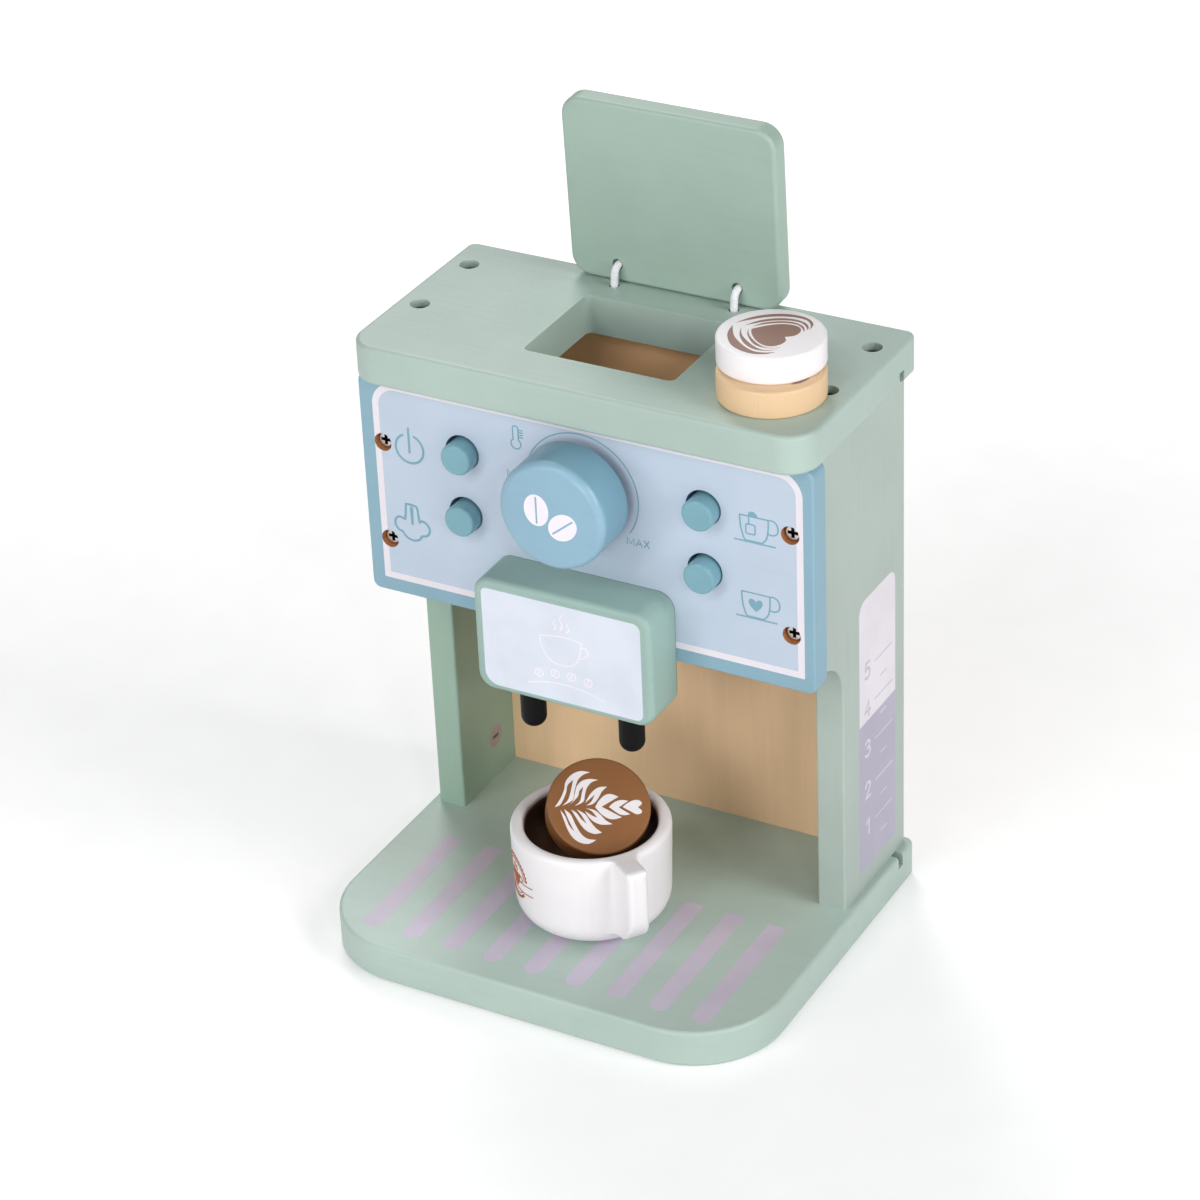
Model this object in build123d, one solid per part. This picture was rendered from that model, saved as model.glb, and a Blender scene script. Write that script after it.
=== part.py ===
from build123d import *
import math
import os

# Toy coffee maker in painted wood, millimetres. X to the right, -Y to the front, +Z up.
# The origin is the centre of the base board's underside.

# ---- Base board -------------------------------------------------------------------------
body_width = 150.0           # of the base board, which the other widths follow
base_depth = 123.4
base_thickness = 12.3
base_front_radius = 29.0
base_rear_radius = 3.0
base_edge_radius = 1.2

# ---- Top board --------------------------------------------------------------------------
body_height = 190.9          # from the underside of the base to the top face
top_overhang = 0.3           # past the base board at each side
top_depth = 75.2
top_thickness = 12.5
top_front_radius = 9.5
top_rear_radius = 3.0
top_edge_radius = 1.4

# ---- Side panels ------------------------------------------------------------------------
side_inset = 2.7             # from the base board's ends to the outer faces
side_thickness = 9.4
side_rear_inset = 2.2        # behind the side panels, on the base board
post_depth = 43.1            # of the side panel below the head
post_radius = 14.5           # concave corner between post and head
side_edge_radius = 0.8

# ---- Back panel in its grooves ----------------------------------------------------------
back_thickness = 3.0
back_front_y = 49.4
groove_depth = 4.4           # in the base board and the top board
side_groove_depth = 3.3
groove_clearance = 0.1       # on each face of the back panel

# ---- Front panel ------------------------------------------------------------------------
panel_overhang = 0.1         # past the base board at each side
panel_height = 73.6
panel_thickness = 8.2
panel_inset = 5.5            # behind the front edge of the top board
panel_corner_radius = 2.6
panel_edge_radius = 0.8

# ---- Hopper opening in the top board ----------------------------------------------------
hopper_width = 49.8
hopper_depth = 39.4
hopper_front_y = 4.1
hopper_corner_radius = 2.2

# ---- Lid, standing open on its cord hinges ----------------------------------------------
lid_width = 70.7
lid_length = 59.3
lid_thickness = 6.9
lid_corner_radius = 6.5
lid_edge_radius = 1.3
lid_x = -0.8
lid_hinge_y = 55.0
lid_gap = 0.15               # between the board and the lid's hinge edge
lid_lean = 2.9               # degrees that the open lid leans to the front

# ---- Hinge cords ------------------------------------------------------------------------
cord_radius = 1.2
cord_x = 20.1                # to each side
cord_y = 52.2
cord_depth = 6.8             # of the glued end in the top board
cord_bend_radius = 2.4
cord_board_hole_radius = 1.65
cord_lid_hole_radius = 1.8
cord_lid_hole_up = 5.9       # above the lid's hinge edge
knot_radius = 2.6
knot_recess_radius = 3.5
knot_recess_depth = 2.8

# ---- Printed controls: buttons and dial -------------------------------------------------
dial_x = 0.1
buttons_x = 0.1              # middle between the two columns of buttons
button_spread = 40.0         # from that middle to each column
button_low_z = 138.0
button_pitch = 20.8
button_radius = 5.05
button_proud = 4.9
button_hole_radius = 5.7
button_hole_aside = -0.2     # of the hole's centre from the button's, for the buttons hang low in
button_hole_above = 0.4      # their holes
button_face_radius = 0.9
button_travel = 3.0
flange_radius = 7.6
flange_thickness = 2.0
guide_pin_radius = 2.0
guide_pin_tail = 0.8         # past the rail at rest
pressed_spring_room = 5.0    # between flange and rail with the button pressed
spring_wire_radius = 0.35
spring_radius = 3.7
spring_turns = 4.5
spring_end_gap = 0.05

rail_width = 18.0
rail_thickness = 5.0
rail_leg = 6.0
rail_end_margin = 16.0       # past the button centres

dial_z = 156.3
dial_radius = 17.4
dial_length = 14.8
dial_gap = 4.3               # between dial and front panel
dial_edge_radius = 2.4
dial_axle_radius = 4.0
dial_bore_depth = 11.0
axle_tail = 0.3              # of the axle past the back of the front panel
washer_radius = 8.0
washer_thickness = 2.0
running_clearance = 0.08

# ---- Brew head block and spouts ---------------------------------------------------------
block_x = -0.25
block_width = 59.55
block_height = 38.35
block_thickness = 15.5
block_bottom_z = 89.45
block_corner_radius = 5.5
block_edge_radius = 1.8
spout_x = 0.6                # middle between the two
spout_radius = 3.95
spout_end_radius = 3.7       # rounding of the lower end
spout_spread = 16.8          # from that middle to each spout
spout_reach = 14.75          # below the block
spout_socket = 9.0           # inside the block
spout_y_in_block = 8.6       # behind the block's front face

# ---- Fasteners --------------------------------------------------------------------------
screw_radius = 1.5
screw_head_radius = 2.6
screw_head_height = 2.0
screw_head_round = 0.6
screw_tip = 2.5
screw_tip_radius = 0.2
drive_width = 1.1
drive_length = 3.4
drive_depth = 1.3
panel_screw_length = 22.0
panel_screw_sink = 1.8
panel_screw_z_low = 123.4
panel_screw_pitch = 33.2
panel_screw_hole_radius = 2.95
top_screw_length = 26.0
top_screw_sink = 5.0
top_screw_hole_radius = 3.1
top_screw_ahead_of_back = 2.3
top_screw_pitch = 29.4
block_screw_length = 18.0
block_screw_spread = 15.0
block_screw_z = 116.0
rail_screw_length = 20.0
dial_screw_length = 14.0
bolt_radius = 2.0
bolt_hole_radius = 2.2
bolt_head_radius = 3.9
bolt_head_height = 3.0
bolt_socket_depth = 1.8
bolt_head_sink = 1.5
bolt_pocket_radius = 4.5
barrel_nut_radius = 3.95
barrel_nut_length = 7.0
barrel_nut_above_base = 14.7
bolt_past_nut = 1.0
dowel_radius = 3.0
dowel_depth = 8.0            # in the base board and in the side panel alike
dowel_forward = 13.0         # in front of the bolt

# ---- Toy cup ----------------------------------------------------------------------------
cup_x = 1.6
cup_y = -14.6
cup_radius = 24.8
cup_base_radius = 23.8
cup_height = 33.0
cup_bore_radius = 20.4
cup_bore_depth = 12.0
cup_foot_fillet = 9.0
cup_rim_radius = 2.0
cup_bore_fillet = 7.0
handle_azimuth = -38.0
handle_thickness = 6.8
handle_reach = 35.8
handle_rise = 1.3            # of the handle's outer end above the rim
handle_inner_drop = 1.2      # of its top below the rim, beside the wall
handle_low = 6.3             # lowest point, where the handle's arc meets the cup
handle_low_radius = 11.7
handle_high_radius = 1.5
handle_edge_radius = 1.2

# ---- Drink discs ------------------------------------------------------------------------
disc_radius = 15.9
disc_thickness = 8.5
disc_edge_radius = 0.8
leaning_tilt = 34.5          # degrees from lying flat
leaning_azimuth = -48.3      # that the tilted face looks to
leaning_ahead = 0.4          # face centre from the cup's axis, the way the face looks
leaning_aside = 2.7          # and across that way
leaning_clearance = 0.35     # from the lowest edge to the floor of the bore
tan_beside_lid = 3.55        # clear of the path of the closing lid
tan_behind_front = 22.6      # centre behind the front edge of the top board
white_from_tan_x = -1.9
white_from_tan_y = 4.0

# ---- Places that follow from the sizes above --------------------------------------------
base_width = body_width
top_width = body_width + 2 * top_overhang
panel_width = body_width + 2 * panel_overhang
side_span = body_width - 2 * side_inset
base_rear_y = base_depth / 2
top_under_z = body_height - top_thickness
top_front_y = base_rear_y - top_depth
side_rear_y = base_rear_y - side_rear_inset
side_mid_x = (side_span - side_thickness) / 2
side_inner_x = side_span / 2 - side_thickness
post_front_y = side_rear_y - post_depth
panel_front_y = top_front_y + panel_inset
panel_back_y = panel_front_y + panel_thickness
panel_bottom_z = top_under_z - panel_height
spring_room = pressed_spring_room + button_travel
flange_back_y = panel_back_y + flange_thickness
rail_front_y = flange_back_y + spring_room
rail_back_y = rail_front_y + rail_thickness
rail_bottom_z = button_low_z - rail_end_margin
rail_top_z = button_low_z + button_pitch + rail_end_margin
dial_back_y = panel_front_y - dial_gap
dial_front_y = dial_back_y - dial_length
axle_end_y = panel_back_y + axle_tail
washer_back_y = axle_end_y + washer_thickness
block_front_y = panel_front_y - block_thickness
spout_y = block_front_y + spout_y_in_block
nut_y = (post_front_y + side_rear_y) / 2
nut_z = base_thickness + barrel_nut_above_base
hinge_z = body_height + lid_gap
tan_x = lid_x + lid_width / 2 + tan_beside_lid + disc_radius
tan_y = top_front_y + tan_behind_front
button_columns = {"left": buttons_x - button_spread, "right": buttons_x + button_spread}
button_rows = {"lower": button_low_z, "upper": button_low_z + button_pitch}
sides = {"left": -1, "right": 1}


# ---- Shared shapes ----------------------------------------------------------------------
def rounded_plan(width, depth, front_radius, rear_radius):
    """Rectangle about the origin whose -Y and +Y corners have their own radii."""
    plan = Rectangle(width, depth)
    front = plan.vertices().group_by(Axis.Y)[0]
    plan = fillet(front, front_radius)
    rear = plan.vertices().group_by(Axis.Y)[-1]
    return fillet(rear, rear_radius)


def soften(solid, radius, axis=Axis.Z):
    """Round the edges of the two end faces along an axis."""
    groups = solid.edges().group_by(axis)
    return fillet(groups[0] + groups[-1], radius)


def board(width, depth, thickness, front_radius, rear_radius, edge_radius):
    """Flat board on the origin with rounded corners and sanded edges."""
    return soften(extrude(rounded_plan(width, depth, front_radius, rear_radius), thickness), edge_radius)


def screw(length):
    """Cross-head screw that points down, with the top of its head at the origin."""
    head = Pos(0, 0, -screw_head_height / 2) * Cylinder(screw_head_radius, screw_head_height)
    head = fillet(head.edges().group_by(Axis.Z)[-1], screw_head_round)
    shank_length = length - screw_head_height - screw_tip
    shank = Pos(0, 0, -screw_head_height - shank_length / 2) * Cylinder(screw_radius, shank_length)
    tip = Pos(0, 0, -length + screw_tip / 2) * Cone(screw_tip_radius, screw_radius, screw_tip)
    slot = Pos(0, 0, -drive_depth / 2) * Box(drive_length, drive_width, drive_depth)
    return head + shank + tip - slot - Rot(0, 0, 90) * slot


def screw_hole(length, sink):
    """Hole that a screw's shank cuts below a face, with the screw's head sunk under that face."""
    return Pos(0, 0, -sink - length / 2) * Cylinder(screw_radius, length)


def along_y(shape, turn):
    """Turn a shape from the Z axis to the Y axis: turn=90 sends -Z to the rear, -90 to the front."""
    return Rot(turn, 0, 0) * shape


# ---- Boards -----------------------------------------------------------------------------
top_screw_places = [
    (side * side_mid_x, back_front_y - top_screw_ahead_of_back - row * top_screw_pitch)
    for side in sides.values()
    for row in (0, 1)
]
panel_screw_places = [
    (side * side_mid_x, panel_screw_z_low + row * panel_screw_pitch)
    for side in sides.values()
    for row in (0, 1)
]


def groove(length, depth):
    """Full-width slot for an edge of the back panel; its open face is at z = 0."""
    width = back_thickness + 2 * groove_clearance
    return Pos(0, back_front_y + back_thickness / 2, 0) * Box(length, width, 2 * depth)


def base_board():
    solid = board(base_width, base_depth, base_thickness, base_front_radius, base_rear_radius,
                  base_edge_radius)
    solid -= Pos(0, 0, base_thickness) * groove(base_width * 1.1, groove_depth)
    for side in sides.values():
        solid -= Pos(side * side_mid_x, nut_y, base_thickness / 2) * Cylinder(bolt_hole_radius, base_thickness)
        pocket_depth = bolt_head_sink + bolt_head_height
        solid -= Pos(side * side_mid_x, nut_y, pocket_depth / 2) * Cylinder(bolt_pocket_radius, pocket_depth)
        dowel_z = base_thickness - dowel_depth / 2
        solid -= Pos(side * side_mid_x, nut_y - dowel_forward, dowel_z) * Cylinder(dowel_radius, dowel_depth)
    return solid


def side_panel(side):
    """Upright whose upper part reaches forward to the back of the front panel."""
    step = post_front_y - panel_back_y
    with BuildPart() as upright:
        with BuildSketch(Plane.YZ.offset(side_inner_x)):
            with BuildLine():
                Polyline(
                    (side_rear_y, base_thickness),
                    (side_rear_y, top_under_z),
                    (panel_back_y, top_under_z),
                    (panel_back_y, panel_bottom_z),
                    (post_front_y, panel_bottom_z),
                    (post_front_y, base_thickness),
                    close=True,
                )
            make_face()
        extrude(amount=side_thickness)
        inner_corner = (
            upright.edges().filter_by(Axis.X).sort_by_distance((side_inner_x, post_front_y, panel_bottom_z))[0]
        )
        fillet(inner_corner, min(post_radius, 0.9 * step))
        post_front_edges = upright.faces().filter_by(Axis.Y).sort_by_distance(
            (side_mid_x, post_front_y, (base_thickness + panel_bottom_z) / 2))[0].edges().filter_by(Axis.Z)
        rear_edges = upright.faces().sort_by(Axis.Y)[-1].edges().filter_by(Axis.Z)
        fillet(post_front_edges + rear_edges, side_edge_radius)
    solid = upright.part
    back_groove_width = back_thickness + 2 * groove_clearance
    solid -= Pos(side_inner_x, back_front_y + back_thickness / 2, body_height / 2) * Box(
        2 * side_groove_depth, back_groove_width, body_height)
    nut_hole = Rot(0, 90, 0) * Cylinder(barrel_nut_radius, barrel_nut_length)
    solid -= Pos(side_inner_x + barrel_nut_length / 2, nut_y, nut_z) * nut_hole
    bolt_top_z = nut_z + barrel_nut_radius + bolt_past_nut
    bolt_run = bolt_top_z - base_thickness
    solid -= Pos(side_mid_x, nut_y, base_thickness + bolt_run / 2) * Cylinder(bolt_hole_radius, bolt_run)
    solid -= Pos(side_mid_x, nut_y - dowel_forward, base_thickness + dowel_depth / 2) * Cylinder(
        dowel_radius, dowel_depth)
    for _, y in top_screw_places[:2]:
        solid -= Pos(side_mid_x, y, body_height) * screw_hole(top_screw_length, top_screw_sink)
    for _, z in panel_screw_places[:2]:
        hole = along_y(screw_hole(panel_screw_length, panel_screw_sink), 90)
        solid -= Pos(side_mid_x, panel_front_y, z) * hole
    return solid if side > 0 else mirror(solid, about=Plane.YZ)


def back_panel():
    """Plywood sheet held in the four grooves."""
    width = 2 * (side_inner_x + side_groove_depth - groove_clearance)
    low = base_thickness - groove_depth + groove_clearance
    high = top_under_z + groove_depth - groove_clearance
    middle_y = back_front_y + back_thickness / 2
    return Pos(0, middle_y, (low + high) / 2) * Box(width, back_thickness, high - low)


def top_board():
    solid = Pos(0, (top_front_y + base_rear_y) / 2, top_under_z) * board(
        top_width, top_depth, top_thickness, top_front_radius, top_rear_radius, top_edge_radius)
    opening = extrude(RectangleRounded(hopper_width, hopper_depth, hopper_corner_radius), top_thickness * 2,
                      both=True)
    solid -= Pos(0, hopper_front_y + hopper_depth / 2, body_height) * opening
    solid -= Pos(0, 0, top_under_z) * groove(top_width * 1.1, groove_depth)
    for x, y in top_screw_places:
        pocket = top_screw_sink + screw_head_height
        solid -= Pos(x, y, body_height - pocket / 2) * Cylinder(top_screw_hole_radius, pocket)
        solid -= Pos(x, y, body_height - top_thickness / 2) * Cylinder(screw_radius, top_thickness)
    for side in sides.values():
        solid -= Pos(side * cord_x, cord_y, body_height - cord_depth / 2) * Cylinder(
            cord_board_hole_radius, cord_depth)
    return solid


def front_panel():
    plan = RectangleRounded(panel_width, panel_height, panel_corner_radius)
    solid = soften(extrude(plan, panel_thickness), panel_edge_radius)
    solid = Pos(0, panel_back_y, panel_bottom_z + panel_height / 2) * along_y(solid, 90)
    middle_y = (panel_front_y + panel_back_y) / 2
    for x in button_columns.values():
        for z in button_rows.values():
            hole = along_y(Cylinder(button_hole_radius, panel_thickness), 90)
            solid -= Pos(x + button_hole_aside, middle_y, z + button_hole_above) * hole
    axle_hole = Cylinder(dial_axle_radius + running_clearance, panel_thickness)
    solid -= Pos(dial_x, middle_y, dial_z) * along_y(axle_hole, 90)
    for x, z in panel_screw_places:
        pocket = panel_screw_sink + screw_head_height
        solid -= Pos(x, panel_front_y + pocket / 2, z) * along_y(Cylinder(panel_screw_hole_radius, pocket), 90)
        solid -= Pos(x, middle_y, z) * along_y(Cylinder(screw_radius, panel_thickness), 90)
    for side in sides.values():
        place = Pos(block_x + side * block_screw_spread, middle_y, block_screw_z)
        solid -= place * along_y(Cylinder(screw_radius, panel_thickness), 90)
    for x in button_columns.values():
        for z in rail_screw_rows():
            depth = rail_screw_length - screw_head_height - (rail_back_y - panel_back_y)
            hole = along_y(Cylinder(screw_radius, depth), 90)
            solid -= Pos(x, panel_back_y - depth / 2, z) * hole
    return solid


# ---- Brew head --------------------------------------------------------------------------
def head_block():
    plan = RectangleRounded(block_width, block_height, block_corner_radius)
    solid = extrude(plan, block_thickness)
    solid = fillet(solid.edges().group_by(Axis.Z)[-1], block_edge_radius)
    middle_z = block_bottom_z + block_height / 2
    solid = Pos(block_x, panel_front_y, middle_z) * along_y(solid, 90)
    for side in sides.values():
        socket = Pos(spout_x + side * spout_spread, spout_y, block_bottom_z + spout_socket / 2)
        solid -= socket * Cylinder(spout_radius, spout_socket)
        depth = block_screw_length - screw_head_height - panel_thickness
        hole = along_y(Cylinder(screw_radius, depth), 90)
        solid -= Pos(block_x + side * block_screw_spread, panel_front_y - depth / 2, block_screw_z) * hole
    return solid


def spout(side):
    """Black dowel with a round lower end, glued into the block."""
    length = spout_reach + spout_socket
    solid = Cylinder(spout_radius, length)
    solid = fillet(solid.edges().group_by(Axis.Z)[0], spout_end_radius)
    middle_z = block_bottom_z + spout_socket - length / 2
    return Pos(spout_x + side * spout_spread, spout_y, middle_z) * solid


# ---- Lid and its cord hinges ------------------------------------------------------------
def on_open_lid(shape):
    """Carry a shape from the lid's own frame, x across and z up the lid, y through it, to its place."""
    return Pos(lid_x, lid_hinge_y, hinge_z) * Rot(lid_lean, 0, 0) * shape


def lid():
    plan = RectangleRounded(lid_width, lid_length, lid_corner_radius)
    solid = soften(extrude(plan, lid_thickness), lid_edge_radius)
    solid = Pos(0, lid_thickness, lid_length / 2) * along_y(solid, 90)
    for side in sides.values():
        x = side * cord_x - lid_x
        solid -= Pos(x, lid_thickness / 2, cord_lid_hole_up) * along_y(
            Cylinder(cord_lid_hole_radius, lid_thickness), 90)
        solid -= Pos(x, lid_thickness - knot_recess_depth / 2, cord_lid_hole_up) * along_y(
            Cylinder(knot_recess_radius, knot_recess_depth), 90)
    return on_open_lid(solid)


def hinge_cord(side):
    """Elastic cord glued into the board, bent back through the lid and knotted behind it."""
    lean = math.radians(lid_lean)
    along_up = (-math.sin(lean), math.cos(lean))
    through = (math.cos(lean), math.sin(lean))
    face_y = lid_hinge_y + cord_lid_hole_up * along_up[0]
    face_z = hinge_z + cord_lid_hole_up * along_up[1]
    corner_z = face_z - (face_y - cord_y) * through[1] / through[0]
    knot_depth = lid_thickness - knot_recess_depth + knot_radius + lid_gap
    knot_y = face_y + knot_depth * through[0]
    knot_z = face_z + knot_depth * through[1]
    x = side * cord_x
    start = (x, cord_y, body_height - cord_depth)
    path = FilletPolyline(start, (x, cord_y, corner_z), (x, knot_y, knot_z), radius=cord_bend_radius)
    cord = sweep(Plane(start, z_dir=(0, 0, 1)) * Circle(cord_radius), path)
    return cord + Pos(x, knot_y, knot_z) * Sphere(knot_radius)


# ---- Dial -------------------------------------------------------------------------------
def dial_knob():
    solid = Cylinder(dial_radius, dial_length)
    solid = fillet(solid.edges().group_by(Axis.Z)[-1], dial_edge_radius)
    solid -= Pos(0, 0, -dial_length / 2 + dial_bore_depth / 2) * Cylinder(dial_axle_radius, dial_bore_depth)
    return Pos(dial_x, (dial_front_y + dial_back_y) / 2, dial_z) * along_y(solid, 90)


def dial_axle():
    start_y = dial_back_y - dial_bore_depth
    length = axle_end_y - start_y
    solid = Pos(dial_x, start_y + length / 2, dial_z) * along_y(Cylinder(dial_axle_radius, length), 90)
    depth = dial_screw_length - screw_head_height - washer_thickness
    return solid - Pos(dial_x, axle_end_y - depth / 2, dial_z) * along_y(Cylinder(screw_radius, depth), 90)


def dial_washer():
    ring = Cylinder(washer_radius, washer_thickness) - Cylinder(screw_radius, washer_thickness)
    return Pos(dial_x, axle_end_y + washer_thickness / 2, dial_z) * along_y(ring, 90)


# ---- Buttons ----------------------------------------------------------------------------
def button(x, z):
    """Turned button: stem through the panel, flange behind it and a pin that runs in the rail."""
    stem_length = button_proud + panel_thickness
    stem = Pos(0, 0, stem_length / 2) * Cylinder(button_radius, stem_length)
    stem = fillet(stem.edges().group_by(Axis.Z)[-1], button_face_radius)
    flange = Pos(0, 0, -flange_thickness / 2) * Cylinder(flange_radius, flange_thickness)
    pin_length = spring_room + rail_thickness + guide_pin_tail
    pin = Pos(0, 0, -flange_thickness - pin_length / 2) * Cylinder(guide_pin_radius, pin_length)
    return Pos(x, panel_back_y, z) * along_y(stem + flange + pin, 90)


def button_spring(x, z):
    coil_height = spring_room - 2 * (spring_wire_radius + spring_end_gap)
    path = Helix(coil_height / spring_turns, coil_height, spring_radius)
    wire = Plane(path @ 0, z_dir=path % 0) * Circle(spring_wire_radius)
    coil = Pos(0, 0, -coil_height / 2) * sweep(wire, path, is_frenet=True)
    return Pos(x, (flange_back_y + rail_front_y) / 2, z) * along_y(coil, 90)


def rail_screw_rows():
    return (rail_bottom_z + rail_leg / 2, rail_top_z - rail_leg / 2)


def button_rail(x):
    """Bridge behind two buttons: a bar on two legs, with a guide hole for each pin."""
    height = rail_top_z - rail_bottom_z
    middle_z = (rail_top_z + rail_bottom_z) / 2
    depth = rail_back_y - panel_back_y
    solid = Pos(x, panel_back_y + depth / 2, middle_z) * Box(rail_width, depth, height)
    gap = depth - rail_thickness
    solid -= Pos(x, panel_back_y + gap / 2, middle_z) * Box(rail_width, gap, height - 2 * rail_leg)
    for z in button_rows.values():
        guide = Cylinder(guide_pin_radius + running_clearance, rail_thickness)
        solid -= Pos(x, rail_back_y - rail_thickness / 2, z) * along_y(guide, 90)
    for z in rail_screw_rows():
        solid -= Pos(x, panel_back_y + depth / 2, z) * along_y(Cylinder(screw_radius, depth), 90)
    return solid


# ---- Fasteners --------------------------------------------------------------------------
def top_screws():
    z = body_height - top_screw_sink
    return [Pos(x, y, z) * screw(top_screw_length) for x, y in top_screw_places]


def front_panel_screws():
    y = panel_front_y + panel_screw_sink
    return [Pos(x, y, z) * along_y(screw(panel_screw_length), 90) for x, z in panel_screw_places]


def head_block_screws():
    y = panel_back_y + screw_head_height
    return [
        Pos(block_x + side * block_screw_spread, y, block_screw_z) * along_y(screw(block_screw_length), -90)
        for side in sides.values()
    ]


def button_rail_screws():
    y = rail_back_y + screw_head_height
    return [
        Pos(x, y, z) * along_y(screw(rail_screw_length), -90)
        for x in button_columns.values()
        for z in rail_screw_rows()
    ]


def dial_screw():
    return Pos(dial_x, washer_back_y + screw_head_height, dial_z) * along_y(screw(dial_screw_length), -90)


def base_bolts():
    """Hex-socket bolts that come up through the base board into the barrel nuts."""
    top_z = nut_z + barrel_nut_radius + bolt_past_nut
    bolts = []
    for side in sides.values():
        head = Pos(0, 0, bolt_head_sink + bolt_head_height / 2) * Cylinder(bolt_head_radius, bolt_head_height)
        shank_length = top_z - bolt_head_sink
        shank = Pos(0, 0, bolt_head_sink + shank_length / 2) * Cylinder(bolt_radius, shank_length)
        socket = extrude(Pos(0, 0, bolt_head_sink) * RegularPolygon(bolt_radius, 6), bolt_socket_depth)
        bolts.append(Pos(side * side_mid_x, nut_y, 0) * (head + shank - socket))
    return bolts


def barrel_nuts():
    """Steel cross dowels in the side panels, each with a cross hole for its bolt."""
    nuts = []
    for side in sides.values():
        x = side * (side_inner_x + barrel_nut_length / 2)
        body = Pos(x, nut_y, nut_z) * Rot(0, 90, 0) * Cylinder(barrel_nut_radius, barrel_nut_length)
        hole = Pos(side * side_mid_x, nut_y, nut_z) * Cylinder(bolt_radius, 4 * barrel_nut_radius)
        slot = Pos(side * side_inner_x, nut_y, nut_z) * Box(2 * drive_depth, drive_length, drive_width)
        nuts.append(body - hole - slot)
    return nuts


def base_dowels():
    dowel = Pos(0, nut_y - dowel_forward, base_thickness) * Cylinder(dowel_radius, 2 * dowel_depth)
    return [Pos(side * side_mid_x, 0, 0) * dowel for side in sides.values()]


# ---- Cup and drink discs ----------------------------------------------------------------
def cup_body():
    """Turned cup with a rounded foot and a shallow bore."""
    with BuildPart() as turned:
        with BuildSketch(Plane.XZ):
            with BuildLine():
                Polyline((0, 0), (cup_base_radius, 0), (cup_radius, cup_height), (0, cup_height), close=True)
            make_face()
        revolve(axis=Axis.Z)
        fillet(turned.edges().group_by(Axis.Z)[0], cup_foot_fillet)
    bore = Pos(0, 0, cup_height - cup_bore_depth / 2) * Cylinder(cup_bore_radius, cup_bore_depth)
    bore = fillet(bore.edges().group_by(Axis.Z)[0], cup_bore_fillet)
    solid = turned.part - bore
    rim = solid.edges().filter_by(GeomType.CIRCLE).group_by(Axis.Z)[-1]
    solid = fillet(rim, cup_rim_radius)
    return Pos(cup_x, cup_y, base_thickness) * solid


def cup_handle():
    """Solid ear glued to the cup's side: a flat slab with an arc for its lower edge."""
    inner = (cup_bore_radius + cup_base_radius) / 2
    inner_top = cup_height - handle_inner_drop
    outline = Polyline(
        (inner, handle_low),
        (inner, inner_top),
        (cup_radius, inner_top),
        (handle_reach, cup_height + handle_rise),
        (handle_reach, handle_low),
        close=True,
    )
    face = make_face(outline)
    low_corner = face.vertices().group_by(Axis.X)[-1].sort_by(Axis.Y)[0]
    face = fillet(low_corner, handle_low_radius)
    high_corner = face.vertices().group_by(Axis.X)[-1].sort_by(Axis.Y)[-1]
    face = fillet(high_corner, handle_high_radius)
    ear = extrude(Plane.XZ * face, handle_thickness / 2, both=True)
    side_edges = ear.edges().group_by(Axis.Y)
    ear = fillet(side_edges[0] + side_edges[-1], handle_edge_radius)
    placed = Pos(cup_x, cup_y, base_thickness) * Rot(0, 0, handle_azimuth) * ear
    with BuildPart() as cup_side:
        with BuildSketch(Plane.XZ):
            with BuildLine():
                Polyline((0, 0), (cup_base_radius, 0), (cup_radius, cup_height),
                         (cup_radius, cup_height * 2), (0, cup_height * 2), close=True)
            make_face()
        revolve(axis=Axis.Z)
        fillet(cup_side.edges().group_by(Axis.Z)[0], cup_foot_fillet)
    return placed - Pos(cup_x, cup_y, base_thickness) * cup_side.part


def drink_disc():
    """Flat wooden disc with its top face centred on the origin."""
    return Pos(0, 0, -disc_thickness / 2) * soften(Cylinder(disc_radius, disc_thickness), disc_edge_radius)


def rosetta_disc():
    """Disc that leans in the cup, with its lowest edge just over the floor of the bore."""
    tilt = math.radians(leaning_tilt)
    floor_z = base_thickness + cup_height - cup_bore_depth
    face_z = floor_z + leaning_clearance + disc_thickness * math.cos(tilt) + disc_radius * math.sin(tilt)
    turned = Rot(0, 0, leaning_azimuth) * Pos(leaning_ahead, leaning_aside, 0)
    return Pos(cup_x, cup_y, face_z) * turned * Rot(0, leaning_tilt, 0) * drink_disc()


def tan_disc():
    return Pos(tan_x, tan_y, body_height + disc_thickness) * drink_disc()


def white_disc():
    place = Pos(tan_x + white_from_tan_x, tan_y + white_from_tan_y, body_height + 2 * disc_thickness)
    return place * drink_disc()


# ---- All nodes --------------------------------------------------------------------------
nodes = {
    "base_board": base_board(),
    "side_panel_left": side_panel(-1),
    "side_panel_right": side_panel(1),
    "back_panel": back_panel(),
    "top_board": top_board(),
    "front_panel": front_panel(),
    "head_block": head_block(),
    "spout_left": spout(-1),
    "spout_right": spout(1),
    "lid": lid(),
    "hinge_cord_left": hinge_cord(-1),
    "hinge_cord_right": hinge_cord(1),
    "dial_knob": dial_knob(),
    "dial_axle": dial_axle(),
    "dial_washer": dial_washer(),
    "dial_screw": dial_screw(),
    "top_screws": top_screws(),
    "front_panel_screws": front_panel_screws(),
    "head_block_screws": head_block_screws(),
    "button_rail_screws": button_rail_screws(),
    "base_bolts": base_bolts(),
    "barrel_nuts": barrel_nuts(),
    "base_dowels": base_dowels(),
    "cup_body": cup_body(),
    "cup_handle": cup_handle(),
    "rosetta_disc": rosetta_disc(),
    "tan_disc": tan_disc(),
    "white_disc": white_disc(),
}
for column, x in button_columns.items():
    nodes[f"button_rail_{column}"] = button_rail(x)
    for row, z in button_rows.items():
        nodes[f"button_{row}_{column}"] = button(x, z)
        nodes[f"button_spring_{row}_{column}"] = button_spring(x, z)

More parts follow.
